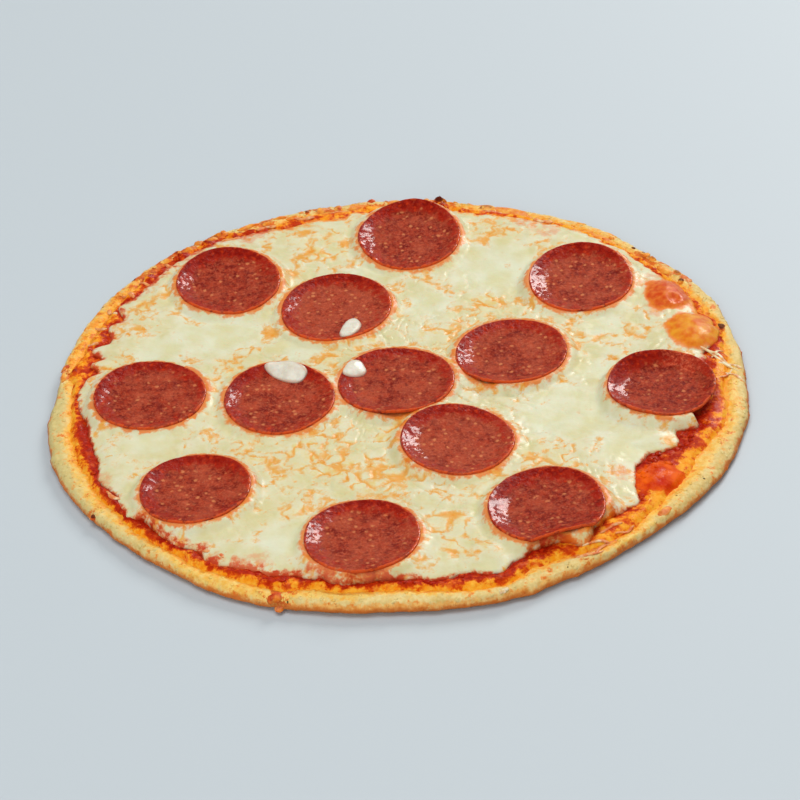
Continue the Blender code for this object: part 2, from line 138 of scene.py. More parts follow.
# Places where the cheese stayed pale and smooth, where it browned most, and where it is thin and
# lets the sauce show through: x, y, size.
PALE_PLACES = (
    (-66, 36, 20), (-36, 22, 8), (42, 68, 20), (60, -30, 20), (78, -52, 12), (14, 45, 11), (-88, 24, 12),
    (-88, -32, 10), (-40, -92, 12), (72, -4, 9), (26, -114, 6), (78, 24, 9), (-8, 68, 8))
GOLDEN_PLACES = (
    (-30, -48, 22), (-52, -38, 12), (-8, -62, 16), (36, 42, 14), (-20, 16, 14), (-76, 42, 5),
    (22, 20, 12), (-58, 14, 12), (48, -52, 12), (30, -70, 12), (0, -34, 10), (62, 76, 10), (-36, 66, 10),
    (-90, 58, 8), (-46, -76, 12), (14, -88, 8), (84, 20, 8), (66, 14, 8), (-104, 20, 8), (62, -26, 8),
    (-24, 90, 13), (-36, 103, 10), (42, 90, 12), (17, -101, 9), (68, -32, 8))
PINK_PLACES = (
    (62, 92, 8), (54, 99, 7), (-104, -52, 6), (-52, -104, 10), (-30, -112, 8), (98, 50, 8),
    (-12, -114, 8), (64, -104, 6), (-76, 88, 8), (-54, 100, 8), (98, 30, 6), (100, -2, 6), (74, -66, 6))

# How red the bare sauce is round the pizza, from golden oil at 0 to dark tomato at 1.
RED_ROUND = (
    (0, 0.6), (4, 0.85), (8, 0.45), (14, 0.1), (30, 0.2), (40, -0.1), (60, -0.2), (72, -0.1), (79, 0.5),
    (86, 0.2), (95, 0.15), (108, 0.2), (116, 0.35), (124, 0.45), (132, 0.55), (142, 0.5), (150, 0.5),
    (160, 0.45), (170, 0.55), (176, 0.35), (184, 0.5), (190, 0.9), (212, 0.95), (224, 1.0), (232, 0.7),
    (240, 0.55), (247, 0.9), (256, 0.85), (264, 0.75), (272, 0.95), (280, 0.85), (287, 1.0), (293, 1.0),
    (298, 0.3), (306, 0.2), (312, 0.5), (318, 0.6), (328, 0.9), (336, 1.0), (343, 0.95), (349, 0.35),
    (356, 0.25))
# Width in millimetres of the stained border of the cheese round the pizza.
STAIN_ROUND = (
    (0, 6), (10, 2), (20, 2), (45, 4), (60, 7), (75, 7), (90, 8), (105, 9), (120, 9), (135, 8), (150, 7),
    (165, 6), (175, 5), (185, 3), (200, 2), (215, 3), (225, 5), (235, 7), (250, 7), (262, 5), (275, 3.5),
    (288, 1.5), (294, 4), (300, 6), (307, 5), (313, 2), (320, 3), (335, 2), (345, 1.5), (355, 4))
# Share of the rim's width where its toasted edge begins, and how far red crags cover the rim.
TOAST_ROUND = (
    (0, 0.85), (20, 0.8), (45, 0.7), (70, 0.6), (100, 0.6), (140, 0.7), (160, 0.9), (190, 0.95),
    (210, 0.85), (225, 0.82), (240, 0.76), (262, 0.72), (285, 0.72), (300, 0.74), (320, 0.8), (340, 0.84))
CRAG_ROUND = (
    (0, 0.0), (20, 0.0), (26, 0.3), (36, 0.4), (42, 0.05), (60, 0.0), (74, 0.1), (80, 0.6), (90, 0.35),
    (100, 0.4), (112, 0.45), (124, 0.6), (135, 0.6), (146, 0.4), (152, 0.2), (160, 0.1), (170, 0.1),
    (172, 0.6), (175, 0.05), (180, 0.0), (246, 0.0), (250, 0.8), (254, 0.0), (300, 0.0))
# How grainy the bare sauce is round the pizza.
GRAINS_ROUND = (
    (0, 0.8), (15, 0.2), (60, 0.1), (78, 0.6), (95, 0.4), (120, 0.6), (145, 0.3), (165, 0.2), (185, 0.3),
    (205, 0.6), (235, 0.9), (260, 0.9), (284, 1.0), (294, 1.0), (300, 0.4), (318, 0.8), (330, 1.0),
    (345, 1.0))

# Lumps of baked sauce and cheese on the rim: degrees, radius, half width, height, redness, brown tip.
RIM_LUMPS = (
    (79.6, 121.6, 2.3, 4.6, 0.8, 1.0), (77.6, 121.5, 1.7, 2.2, 0.4, 0.0),
    (82.0, 121.5, 2.0, 1.8, 0.5, 0.2), (92.5, 124.6, 1.4, 1.4, 0.8, 0.4),
    (88.0, 122.5, 2.1, 1.0, 0.2, 0.0), (95.5, 122.0, 2.3, 1.0, 0.3, 0.0),
    (99.0, 122.6, 1.9, 0.9, 0.5, 0.1), (102.0, 123.0, 1.7, 0.9, 0.3, 0.0),
    (105.0, 122.8, 1.3, 1.2, 0.9, 0.9), (107.5, 122.0, 2.1, 1.0, 0.3, 0.0),
    (110.0, 123.6, 1.7, 1.3, 0.35, 0.1), (113.0, 122.6, 2.1, 1.1, 0.56, 0.2),
    (116.6, 124.0, 2.2, 1.5, 0.14, 0.1), (119.0, 122.0, 1.6, 1.2, 0.63, 0.5),
    (121.5, 125.6, 1.8, 1.5, 0.56, 0.5), (124.0, 124.4, 2.0, 1.4, 0.63, 0.2),
    (126.5, 126.2, 1.6, 1.4, 0.7, 0.7), (128.8, 124.6, 2.3, 1.5, 0.56, 0.2),
    (131.2, 126.4, 1.6, 1.3, 0.7, 0.6), (134.0, 125.2, 1.9, 1.2, 0.49, 0.1),
    (27.6, 123.8, 1.9, 1.8, 0.4, 0.8), (29.8, 121.6, 2.3, 1.6, 0.3, 0.1),
    (25.2, 122.4, 1.7, 1.4, 0.3, 0.9), (33.8, 122.6, 1.8, 1.6, 0.5, 0.8),
    (36.5, 123.2, 1.2, 0.9, 0.4, 1.0), (39.0, 122.8, 1.2, 0.8, 0.3, 1.0),
    (45.0, 120.0, 2.8, 0.8, 0.1, 0.0), (49.0, 120.6, 3.0, 0.8, 0.1, 0.0),
    (54.0, 119.6, 2.8, 0.8, 0.3, 0.0), (66.0, 121.2, 3.4, 0.9, 0.0, 0.1),
    (70.5, 121.8, 3.0, 0.8, 0.0, 0.6), (62.0, 119.4, 2.2, 0.7, 0.2, 0.3),
    (9.2, 122.6, 2.0, 1.9, 0.5, 1.0), (213.0, 126.0, 1.3, 1.0, 0.7, 0.9),
    (250.0, 126.0, 2.2, 1.3, 0.9, 0.3), (250.6, 128.0, 1.6, 0.9, 0.8, 0.6),
    (315.0, 122.8, 1.9, 1.0, 0.3, 0.2), (300.5, 121.4, 2.0, 1.1, 0.3, 0.2),
    (303.5, 122.4, 1.8, 1.0, 0.2, 0.1), (297.0, 121.0, 1.7, 1.1, 0.5, 0.2),
    (342.0, 122.8, 1.2, 0.7, 0.6, 0.4), (171.4, 123.0, 1.2, 0.7, 0.3, 0.0),
    (172.4, 123.4, 1.3, 0.8, 0.3, 0.1), (173.4, 122.8, 1.1, 0.6, 0.4, 0.0))

# Shreds of cheese: from (x, y) to (x, y), sideways bow, half width, whiteness.
SHREDS = (
    ((111.0, 5.4), (121.5, -6.6), 1.2, 0.42, 0.9), ((113.6, 4.0), (123.6, -9.4), -0.8, 0.36, 0.9),
    ((116.6, -4.4), (125.2, -6.8), 0.8, 0.34, 0.8), ((118.2, -9.8), (124.6, -14.8), 0.9, 0.36, 0.7),
    ((114.8, -1.0), (119.8, 4.0), 0.7, 0.34, 0.8), ((116.0, -13.6), (121.0, -7.4), -0.8, 0.32, 0.6),
    ((57.4, -104.6), (67.0, -102.0), 0.9, 0.42, 0.5), ((54.0, -108.2), (64.4, -105.8), -0.8, 0.4, 0.4),
    ((60.6, -108.0), (69.6, -100.4), 1.0, 0.4, 0.5), ((64.0, -98.6), (72.0, -93.4), 0.9, 0.42, 0.4),
    ((68.8, -98.0), (75.8, -94.2), -0.8, 0.36, 0.4), ((-104.4, 52.0), (-108.4, 57.6), 0.7, 0.55, 0.4),
    ((-98.6, 62.6), (-103.6, 66.4), -0.7, 0.6, 0.4), ((-107.8, 42.6), (-112.6, 46.0), 0.6, 0.6, 0.4),
    ((-92.6, 70.8), (-97.0, 75.6), 0.8, 0.55, 0.4), ((-110.4, 33.0), (-114.6, 34.4), 0.5, 0.6, 0.5),
    ((-84.8, 80.4), (-88.2, 86.4), -0.6, 0.55, 0.4), ((-28.6, 113.6), (-37.4, 113.0), 0.9, 0.6, 0.5),
    ((-44.0, 108.2), (-52.2, 106.0), -0.8, 0.6, 0.5), ((-58.0, 101.6), (-65.8, 98.8), 0.9, 0.6, 0.4),
    ((-14.4, 117.4), (-22.8, 117.6), -0.7, 0.5, 0.5), ((38.0, 111.6), (46.6, 108.8), 0.8, 0.7, 0.5),
    ((58.4, 101.6), (66.0, 97.8), -0.7, 0.7, 0.5), ((-96.6, -64.0), (-101.8, -57.8), 0.7, 0.5, 0.6),
    ((-60.2, -99.4), (-67.6, -94.8), -0.8, 0.5, 0.5), ((28.8, -123.6), (30.8, -122.9), 0.3, 0.6, 1.0),
    ((29.6, -122.6), (31.6, -121.8), -0.3, 0.45, 1.0))


# Numbers
def ease(low, high, value):
    """Smooth step from 0 at low to 1 at high."""
    share = np.clip((value - low) / (high - low), 0.0, 1.0)
    return share * share * (3.0 - 2.0 * share)


def span(start, full, fading, end, value):
    """Rises from 0 to 1 between the first two marks and falls back between the last two."""
    return ease(start, full, value) * ease(end, fading, value)


def through(table, degrees):
    """Smooth closed curve through a table of (degrees, value) without overshoot."""
    keys, values = np.array(sorted(table), float).T
    keys = np.concatenate([keys[-2:] - 360.0, keys, keys[:3] + 360.0])
    values = np.concatenate([values[-2:], values, values[:3]])
    run = np.diff(keys)
    secant = np.diff(values) / run
    slope = np.zeros_like(values)
    same = secant[1:] * secant[:-1] > 0.0
    both = np.where(same, secant[1:] + secant[:-1], 1.0)
    slope[1:-1] = np.where(same, 2.0 * secant[1:] * secant[:-1] / both, 0.0)
    angle = np.mod(degrees, 360.0)
    cell = np.clip(np.searchsorted(keys, angle, side="right") - 1, 0, len(run) - 1)
    t = (angle - keys[cell]) / run[cell]
    start = (2 * t ** 3 - 3 * t ** 2 + 1) * values[cell]
    start = start + (t ** 3 - 2 * t ** 2 + t) * run[cell] * slope[cell]
    end = (3 * t ** 2 - 2 * t ** 3) * values[cell + 1]
    return start + end + (t ** 3 - t ** 2) * run[cell] * slope[cell + 1]


def scatter(column, row, seed):
    """Repeatable value between -1 and 1 for a lattice point."""
    turn = np.sin(column * 127.1 + row * 311.7 + seed * 74.7) * 43758.5453
    return 2.0 * (turn - np.floor(turn)) - 1.0


def lumps(x, y, size, seed):
    """Smooth uneven field between -1 and 1 with the given spacing."""
    column = np.floor(x / size)
    row = np.floor(y / size)
    u = ease(0.0, 1.0, x / size - column)
    v = ease(0.0, 1.0, y / size - row)
    low = scatter(column, row, seed) * (1 - u) + scatter(column + 1, row, seed) * u
    high = scatter(column, row + 1, seed) * (1 - u) + scatter(column + 1, row + 1, seed) * u
    return low * (1 - v) + high * v


def rugged(x, y, size, seed, layers=3):
    """Sum of turned and shrinking uneven fields, about -1 to 1."""
    total = np.zeros_like(x)
    share = 0.55
    for step in range(layers):
        turn = 0.7 * step + 0.3
        u = x * math.cos(turn) - y * math.sin(turn)
        v = x * math.sin(turn) + y * math.cos(turn)
        total = total + share * lumps(u, v, size, seed + step)
        size = size * 0.5
        share = share * 0.6
    return total


def round_lumps(degrees, radius, size, seed, shift):
    """Uneven value round a circle, read from a field at a shift from its own centre."""
    turn = np.radians(degrees)
    return lumps(shift + radius * np.cos(turn), shift + radius * np.sin(turn), size, seed)


def outlines(degrees):
    """Radii where the cheese, the sauce and the crust end at each angle, with ragged edges."""
    ends = []
    for table, coarse, size, fine, fine_size, seed in (
            (CHEESE_OUTLINE, 1.0, 4.2, 0.5, 1.8, 25), (SAUCE_OUTLINE, 0.7, 3.2, 0.35, 1.4, 23),
            (CRUST_OUTLINE, 0.4, 6.0, 0.22, 2.0, 21)):
        radius = through(table, degrees) + coarse * round_lumps(degrees, 122, size, seed, 400)
        ends.append(radius + fine * round_lumps(degrees, 122, fine_size, seed + 1, 400))
    cheese, sauce, crust = ends
    sauce = np.minimum(sauce, crust - RIM_LEAST)
    return np.minimum(cheese, sauce - COLLAR), sauce, crust


def plan(x, y):
    """Radius and angle of points, and where the three layers end at that angle."""
    degrees = np.degrees(np.arctan2(y, x))
    return (np.hypot(x, y), degrees) + outlines(degrees)


def on_circle(degrees, radius):
    """x and y of the point at an angle and radius."""
    return radius * math.cos(math.radians(degrees)), radius * math.sin(math.radians(degrees))


def moved(cx, cy, u, v, lean):
    """Points (u, v) turned by an angle and moved to a centre."""
    return (cx + u * math.cos(lean) - v * math.sin(lean),
            cy + u * math.sin(lean) + v * math.cos(lean))


def at_point(height, x, y):
    """Value of a height function at a single point."""
    return float(height(np.array([x]), np.array([y]))[0])


# Heights of the layers over the table
def crust_top(x, y):
    r, degrees, cheese, sauce, crust = plan(x, y)
    inner = ease(HOLLOW, sauce + 6.0, r) / ease(HOLLOW, sauce + 6.0, sauce)
    inner = CRUST_MIDDLE + (CRUST_AT_SAUCE - CRUST_MIDDLE) * inner
    across = np.clip((r - sauce) / (crust - sauce), 0.0, 1.0)
    wave = 0.3 * round_lumps(degrees, 40, 9.0, 3, 150)
    rim = CRUST_AT_SAUCE + (0.6 + 1.3 * wave) * ease(0.0, 0.35, across) - 0.4 * ease(0.35, 0.8, across)
    rim = rim - 2.6 * (np.clip((across - 0.7) / 0.3, 0.0, 1.0)) ** 2
    back = BACK_LIFT * ease(55.0, 115.0, r) * ease(0.1, 1.0, np.sin(np.radians(degrees)))
    back = back * (1.0 - ease(0.6, 1.0, across))
    crumb = (0.34 * rugged(x, y, 5.0, 31) + 0.17 * rugged(x, y, 1.8, 32)) * ease(0.0, 0.2, across)
    return np.where(r <= sauce, inner, rim) + back + crumb


def domes(x, y, rows):
    """Uneven rounded swellings."""
    total = np.zeros_like(x)
    for cx, cy, wide, deep, high in rows:
        away = np.hypot((x - cx) / wide, (y - cy) / deep)
        away = away * (1.0 + 0.10 * lumps(x, y, 6.0, 41))
        swell = np.clip(1.0 - away ** 2, 0.0, 1.0) ** 1.25
        total = total + high * swell * (1.0 + 0.22 * rugged(x, y, 3.6, 42))
    return total


def sauce_top(x, y):
    r, degrees, cheese, sauce, crust = plan(x, y)
    thick = SAUCE_THICK * ease(sauce + 0.4, sauce - 2.2, r) - 0.18
    bead = 0.5 * np.exp(-((r - 0.5 * (cheese + sauce)) / 1.6) ** 2)
    rough = 0.5 * (0.4 + rugged(x, y, 3.4, 7)) + 0.22 * rugged(x, y, 1.5, 8)
    rough = rough * (0.35 + 0.65 * ease(sauce, cheese, r))
    bare = ease(cheese - 3.0, cheese, r) * ease(sauce, sauce - 1.6, r)
    smooth = domes(x, y, SAUCE_DOMES)
    top = crust_top(x, y) + thick + bare * (bead + rough * (1.0 - 0.8 * ease(0.0, 0.6, smooth)) + smooth)
    for angle, radius, size, high in CRAGS:
        cx, cy = on_circle(angle, radius)
        near = np.exp(-((x - cx) ** 2 + (y - cy) ** 2) / size ** 2)
        top = top + high * bare * near * (0.8 + 0.5 * lumps(x, y, 1.6, 9))
    return top


def broad_swell(x, y):
    """Wide low waves of the cheese."""
    return 0.45 * lumps(x, y, 17.0, 11)


def open_cheese(x, y):
    """Top of the cheese before the slices press it flat."""
    r, degrees, cheese, sauce, crust = plan(x, y)
    thick = CHEESE_THICK - 1.0 * ease(cheese - 10.0, cheese - 1.0, r)
    lip = np.clip((cheese - r) / 1.8, 0.0, 1.0)
    thick = thick * np.sqrt(np.clip(1.0 - (1.0 - lip) ** 2, 0.0, 1.0))
    swell = (broad_swell(x, y) + 0.18 * rugged(x, y, 7.0, 12)) * ease(cheese, cheese - 8.0, r)
    under = crust_top(x, y) + SAUCE_THICK - 0.2 * (1.0 - lip)
    away = np.hypot(x - CRATER[0], y - CRATER[1])
    crater = 0.55 * np.exp(-((away - 2.9) / 0.9) ** 2) - 0.9 * np.exp(-(away / 2.1) ** 2)
    return under + thick + swell + (domes(x, y, CHEESE_DOMES) + crater) * ease(cheese, cheese - 4.0, r)


def bed_top(x, y):
    """Height at which a slice centred at a point would lie."""
    r, degrees, cheese, sauce, crust = plan(x, y)
    return crust_top(x, y) + BED_HEIGHT + broad_swell(x, y) * ease(cheese, cheese - 8.0, r)


BEDS = {name: at_point(bed_top, piece.x, piece.y) for name, piece in SLICES.items()}


def seat_height(name):
    """Height of the middle of a slice's upper side."""
    return BEDS[name] + SLICE_THICK + GAP


def polar(piece, x, y):
    """Distance and angle of points from the centre of a slice."""
    return np.hypot(x - piece.x, y - piece.y), np.arctan2(y - piece.y, x - piece.x)


def slice_edge(piece, angle):
    """Radius of a slice at an angle: nearly round, a little uneven, with its straight side."""
    edge = piece.radius + np.cos(2 * angle + piece.x) * 0.35 + np.cos(3 * angle + piece.y) * 0.2
    u = 50 + 9 * np.cos(angle) + piece.x
    edge = edge + 0.18 * lumps(u, 50 + 9 * np.sin(angle) + piece.y, 2.6, 51)
    if piece.side is not None:
        facing = np.cos(angle - math.radians(piece.side[0]))
        chord = piece.radius * piece.side[1] / np.maximum(facing, 0.3)
        edge = np.where(facing > 0.3, np.minimum(edge, chord), edge)
    return edge


def slice_share(piece, x, y):
    """Share of the way from the middle of a slice to its edge, and the angle there."""
    away, angle = polar(piece, x, y)
    return np.clip(away / slice_edge(piece, angle), 0.0, 1.05), angle


def outside(piece, x, y):
    """Distance of points outside the edge of a slice, negative inside it."""
    away, angle = polar(piece, x, y)
    return away - slice_edge(piece, angle)


def tilted(piece, x, y, height):
    """A height leaned as the slice leans."""
    return height + piece.rise_x * (x - piece.x) + piece.rise_y * (y - piece.y)


def toward(angle, direction, half):
    """1 in a direction in degrees, fading over a half width in degrees to either side."""
    turn = np.mod(np.degrees(angle) - direction + 180.0, 360.0) - 180.0
    return np.exp(-(turn / half) ** 2)


def slice_cup(piece, x, y):
    """Upper surface of a slice above its own flat middle, without its lifted lips."""
    share, angle = slice_share(piece, x, y)
    lean = 1.0 + piece.uneven * np.cos(angle - math.radians(piece.high))
    lean = lean + 0.15 * np.cos(3 * angle + piece.x)
    curl = 0.25 * share ** 2 + 0.75 * ease(0.62, 1.06, share)
    return tilted(piece, x, y, piece.cup * lean * curl)


def slice_lift(piece, x, y):
    """How much the lips of a slice stand off the cheese."""
    share, angle = slice_share(piece, x, y)
    total = np.zeros_like(x)
    for direction, half, lift in piece.lips:
        total = total + lift * toward(angle, direction, half) * ease(0.55, 1.02, share)
    return total


def slice_top(piece, x, y):
    """Upper surface of a slice: cup, lifted lips and the wrinkles of its walls."""
    share = polar(piece, x, y)[0] / piece.radius
    top = slice_cup(piece, x, y) + slice_lift(piece, x, y)
    top = top + 0.07 * rugged(x, y, 2.6, 61)
    wrinkle = 0.15 * rugged(x, y, 1.7, 62) + 0.20 * rugged(x, y, 4.2, 63, 2)
    return top + wrinkle * ease(0.55, 0.82, share) * ease(1.06, 0.94, share)


def cheese_top(x, y):
    """Top of the cheese with the seats of the slices and the collars that meet their edges."""
    most = np.zeros_like(x)
    total = np.zeros_like(x) + 1e-9
    flat = np.zeros_like(x)
    for name, piece in SLICES.items():
        near = ease(piece.radius + 6.5, piece.radius + 0.5, polar(piece, x, y)[0])
        flat = flat + near ** 4 * tilted(piece, x, y, BEDS[name])
        total = total + near ** 4
        most = np.maximum(most, near)
    r, degrees, cheese, sauce, crust = plan(x, y)
    keep = ease(cheese, cheese - 2.2, r)
    top = open_cheese(x, y) * (1.0 - most * keep) + flat / total * most * keep
    for name, piece in SLICES.items():
        away = outside(piece, x, y)
        close = ease(4.6 + 1.2 * lumps(x, y, 8.0, 13), 0.2, away) * keep
        close = close * (1.0 - 0.6 * ease(0.5, 1.0, slice_lift(piece, x, y)))
        meet = slice_cup(piece, x, y) + BEDS[name] + 0.45
        meet = meet - 0.4 * ease(-0.5, -3.0, away)
        top = np.maximum(top, top + close * (meet - top))
    return top


def surface(x, y):
    """Height of whatever lies on top."""
    r, degrees, cheese, sauce, crust = plan(x, y)
    dough = crust_top(x, y)
    top = np.where(r < sauce + 0.3, np.maximum(sauce_top(x, y), dough), dough)
    return np.where(r < cheese - 0.6, np.maximum(cheese_top(x, y), top), top)


def spots(x, y, rows):
    """Soft patches, 0 to 1, with uneven edges."""
    total = np.zeros_like(x)
    bend = 3.0 * rugged(x, y, 9.0, 71)
    for cx, cy, size in rows:
        away = np.hypot(x - cx + bend, y - cy - bend) / size
        total = np.maximum(total, ease(1.15, 0.45, away))
    return total


def marks_round(x, y, rows, near, far):
    """Small marks at (degrees, radius, size, strength), faded between two shares of their size."""
    total = np.zeros_like(x)
    for angle, radius, size, strength in rows:
        cx, cy = on_circle(angle, radius)
        fade = ease(size * far, size * near, np.hypot(x - cx, y - cy))
        total = np.maximum(total, fade * strength)
    return total


# Meshes
def linked(name, data):
    """A new object of the scene."""
    made = bpy.data.objects.new(name, data)
    bpy.context.scene.collection.objects.link(made)
    return made


def skin(name, rings, first, last):
    """Closed mesh from rings of points in millimetres between two pole points, faces out."""
    count = len(rings[0])
    points = np.concatenate(list(rings) + [np.array([first]), np.array([last])]) * MM
    step = np.arange(count)
    after = np.roll(step, -1)
    starts = range(0, (len(rings) - 1) * count, count)
    faces = [np.stack([i + step, i + count + step, i + count + after, i + after], -1) for i in starts]
    quads = np.concatenate(faces)
    end = (len(rings) - 1) * count
    top = np.stack([np.full(count, len(points) - 2), step, after], -1)
    bottom = np.stack([np.full(count, len(points) - 1), end + after, end + step], -1)
    loops = np.concatenate([quads.ravel(), top.ravel(), bottom.ravel()]).astype(np.int32)
    sizes = np.concatenate([np.full(len(quads), 4), np.full(2 * count, 3)]).astype(np.int32)
    mesh = bpy.data.meshes.new(name)
    mesh.vertices.add(len(points))
    mesh.vertices.foreach_set("co", points.astype(np.float32).ravel())
    mesh.loops.add(len(loops))
    mesh.loops.foreach_set("vertex_index", loops)
    mesh.polygons.add(len(sizes))
    starts = np.concatenate([[0], np.cumsum(sizes)[:-1]]).astype(np.int32)
    mesh.polygons.foreach_set("loop_start", starts)
    mesh.polygons.foreach_set("loop_total", sizes)
    mesh.polygons.foreach_set("use_smooth", np.ones(len(sizes), bool))
    mesh.update(calc_edges=True)
    mesh.validate()
    return linked(name, mesh)


def joined(name, parts):
    """One smooth mesh from several pairs of points in millimetres and faces."""
    points = []
    faces = []
    for part_points, part_faces in parts:
        start = len(points)
        points += [tuple(float(c) * MM for c in p) for p in part_points]
        faces += [tuple(start + i for i in face) for face in part_faces]
    mesh = bpy.data.meshes.new(name)
    mesh.from_pydata(points, [], faces)
    mesh.polygons.foreach_set("use_smooth", np.ones(len(mesh.polygons), bool))
    mesh.update()
    return linked(name, mesh)


def where(obj):
    """Vertex positions of a mesh in millimetres."""
    found = np.empty(len(obj.data.vertices) * 3, np.float32)
    obj.data.vertices.foreach_get("co", found)
    return (found.reshape(-1, 3).astype(float) / MM).T


def mark(obj, **masks):
    """Stores masks on the points of a mesh for its material to read."""
    for name, values in masks.items():
        layer = obj.data.attributes.new(name, "FLOAT", "POINT")
        layer.data.foreach_set("value", np.asarray(values, np.float32))


def turns(count):
    """Even steps round a circle in radians."""
    return np.radians(np.arange(count) * 360.0 / count)


def ring(radius, angles, height):
    """Points round the pizza at a height, which may be a function of x and y."""
    x = radius * np.cos(angles)
    y = radius * np.sin(angles)
    z = height(x, y) if callable(height) else np.zeros_like(x) + height
    return np.stack([x, y, z], -1)


def pole(height):
    return (0.0, 0.0, at_point(height, 0.0, 0.0))


def place(obj, slot, *nodes):
    """Puts a piece on the body and hides the solids it stands for; the slot is not used."""
    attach(obj, "root")
    if nodes:
        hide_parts(*nodes)


# Node trees
class Graph:
    """Adds nodes to a tree and joins them."""

    def __init__(self, tree):
        self.tree = tree

    def add(self, kind, inputs=(), **settings):
        node = self.tree.nodes.new(kind)
        for key, value in settings.items():
            setattr(node, key, value)
        for key, value in dict(inputs).items():
            self.put(node.inputs[key], value)
        return node

    def put(self, socket, value):
        if isinstance(value, bpy.types.NodeSocket):
            self.tree.links.new(value, socket)
        elif value is not None:
            socket.default_value = value

    def calc(self, operation, a, b=None):
        return self.add("ShaderNodeMath", {0: a, 1: b}, operation=operation).outputs[0]

    def plus(self, a, b):
        return self.calc("ADD", a, b)

    def times(self, a, b):
        return self.calc("MULTIPLY", a, b)

    def vector_calc(self, operation, a, b, c=None):
        return self.add("ShaderNodeVectorMath", {0: a, 1: b, 2: c}, operation=operation).outputs[0]

    def band(self, value, low, high, to_low=0.0, to_high=1.0):
        """Smooth step of a value between low and high."""
        inputs = dict(enumerate((value, low, high, to_low, to_high)))
        return self.add("ShaderNodeMapRange", inputs, interpolation_type="SMOOTHSTEP").outputs[0]

    def blend(self, factor, low, high):
        return self.add("ShaderNodeMix", {0: factor, 6: low, 7: high}, data_type="RGBA").outputs[2]

    def noise(self, vector, size, detail=2.0, rough=0.5, out="Fac"):
        """Noise with features of about size millimetres."""
        if isinstance(size, bpy.types.NodeSocket):
            scale = self.calc("DIVIDE", 1000.0, size)
        else:
            scale = 1000.0 / size
        inputs = {"Vector": vector, "Scale": scale, "Detail": detail, "Roughness": rough}
        return self.add("ShaderNodeTexNoise", inputs).outputs[out]

    def cells(self, vector, size, out="Distance"):
        """Cells of about size millimetres."""
        return self.add("ShaderNodeTexVoronoi", {"Vector": vector, "Scale": 1000.0 / size}).outputs[out]

    def warp(self, vector, size, amount):
        """Bends a pattern's coordinates by amount millimetres."""
        away = self.vector_calc("SUBTRACT", self.noise(vector, size, out="Color"), (0.5, 0.5, 0.5))
        return self.vector_calc("MULTIPLY_ADD", away, (amount * MM * 2, amount * MM * 2, 0.0), vector)

    def mask(self, name):
        """A mask of the mesh, for a material."""
        return self.add("ShaderNodeAttribute", attribute_name=name).outputs["Fac"]

    def stored(self, name):
        """A mask of the mesh, for Geometry Nodes."""
        node = self.add("GeometryNodeInputNamedAttribute", {"Name": name}, data_type="FLOAT")
        return node.outputs["Attribute"]

    def group(self, tree, **inputs):
        node = self.add("ShaderNodeGroup", node_tree=tree)
        for key, value in inputs.items():
            self.put(node.inputs[key], value)
        return node.outputs

    def chain(self, geometry, *steps):
        """Geometry passed through one node after another."""
        for kind, inputs in steps:
            geometry = self.add(kind, {"Geometry": geometry, **inputs}).outputs[0]
        return geometry


def new_tree(name, kind, inputs, outputs):
    """A tree with (name, type, value) inputs and (name, type) outputs."""
    tree = bpy.data.node_groups.new(name, kind)
    for label, sort, value in inputs:
        made = tree.interface.new_socket(label, in_out="INPUT", socket_type="NodeSocket" + sort)
        if value is not None:
            made.default_value = value
    for label, sort in outputs:
        tree.interface.new_socket(label, in_out="OUTPUT", socket_type="NodeSocket" + sort)
    graph = Graph(tree)
    return tree, graph, graph.add("NodeGroupInput").outputs, graph.add("NodeGroupOutput").inputs


# Mottle: two colours mixed by soft noise of a given size.
mottle, g, i, o = new_tree(
    "mottle", "ShaderNodeTree",
    (("Vector", "Vector", None), ("Size", "Float", 4.0), ("Low", "Color", (0, 0, 0, 1)),
     ("High", "Color", (1, 1, 1, 1)), ("Contrast", "Float", 0.5)), (("Color", "Color"),))
half = g.times(g.calc("SUBTRACT", 1.0, i["Contrast"]), 0.3)
share = g.band(g.noise(i["Vector"], i["Size"], 3.0), g.calc("SUBTRACT", 0.5, half), g.plus(0.5, half))
g.put(o["Color"], g.blend(share, i["Low"], i["High"]))

# Grease: bumps of two sizes for a moist, uneven film, with a mask of its wet places.
grease, g, i, o = new_tree(
    "grease", "ShaderNodeTree",
    (("Vector", "Vector", None), ("Large", "Float", 3.0), ("Small", "Float", 0.9),
     ("Depth", "Float", 0.15), ("Wetness", "Float", 0.5)), (("Normal", "Vector"), ("Wet", "Float")))
small = g.noise(i["Vector"], i["Small"], 3.0, 0.6)
both = g.plus(g.noise(i["Vector"], i["Large"]), g.times(small, 0.45))
height = g.times(both, g.times(i["Depth"], MM))
bump = g.add("ShaderNodeBump", {"Strength": 1.0, "Distance": 1.0, "Height": height})
g.put(o["Normal"], bump.outputs[0])
edge = g.calc("SUBTRACT", 0.75, g.times(i["Wetness"], 0.5))
g.put(o["Wet"], g.band(g.noise(i["Vector"], 7.0), g.calc("SUBTRACT", edge, 0.08), g.plus(edge, 0.08)))


def vein_field(g, spot):
    """0 in the thin seams between melted blobs and 1 away from them, for relief and colour alike."""
    bent = g.warp(g.vector_calc("MULTIPLY", spot, (1.0, 1.0, 0.0)), 6.0, 2.2)
    shifted = g.vector_calc("ADD", bent, (0.31, 0.17, 0.0))
    wide, near = [g.calc("ABSOLUTE", g.calc("SUBTRACT", g.noise(vector, size, 1.5), 0.5))
                  for vector, size in ((bent, 15.0), (shifted, 9.0))]
    least = g.calc("MINIMUM", wide, g.times(near, 1.1))
    return g.calc("MINIMUM", g.times(least, 9.0), 1.0)


# Materials
def colour(red, green, blue):
    """Linear colour from the 0 to 255 values of a screen colour."""
    parts = [c / 255.0 for c in (red, green, blue)]
    return tuple(c / 12.92 if c <= 0.04045 else ((c + 0.055) / 1.055) ** 2.4 for c in parts) + (1.0,)


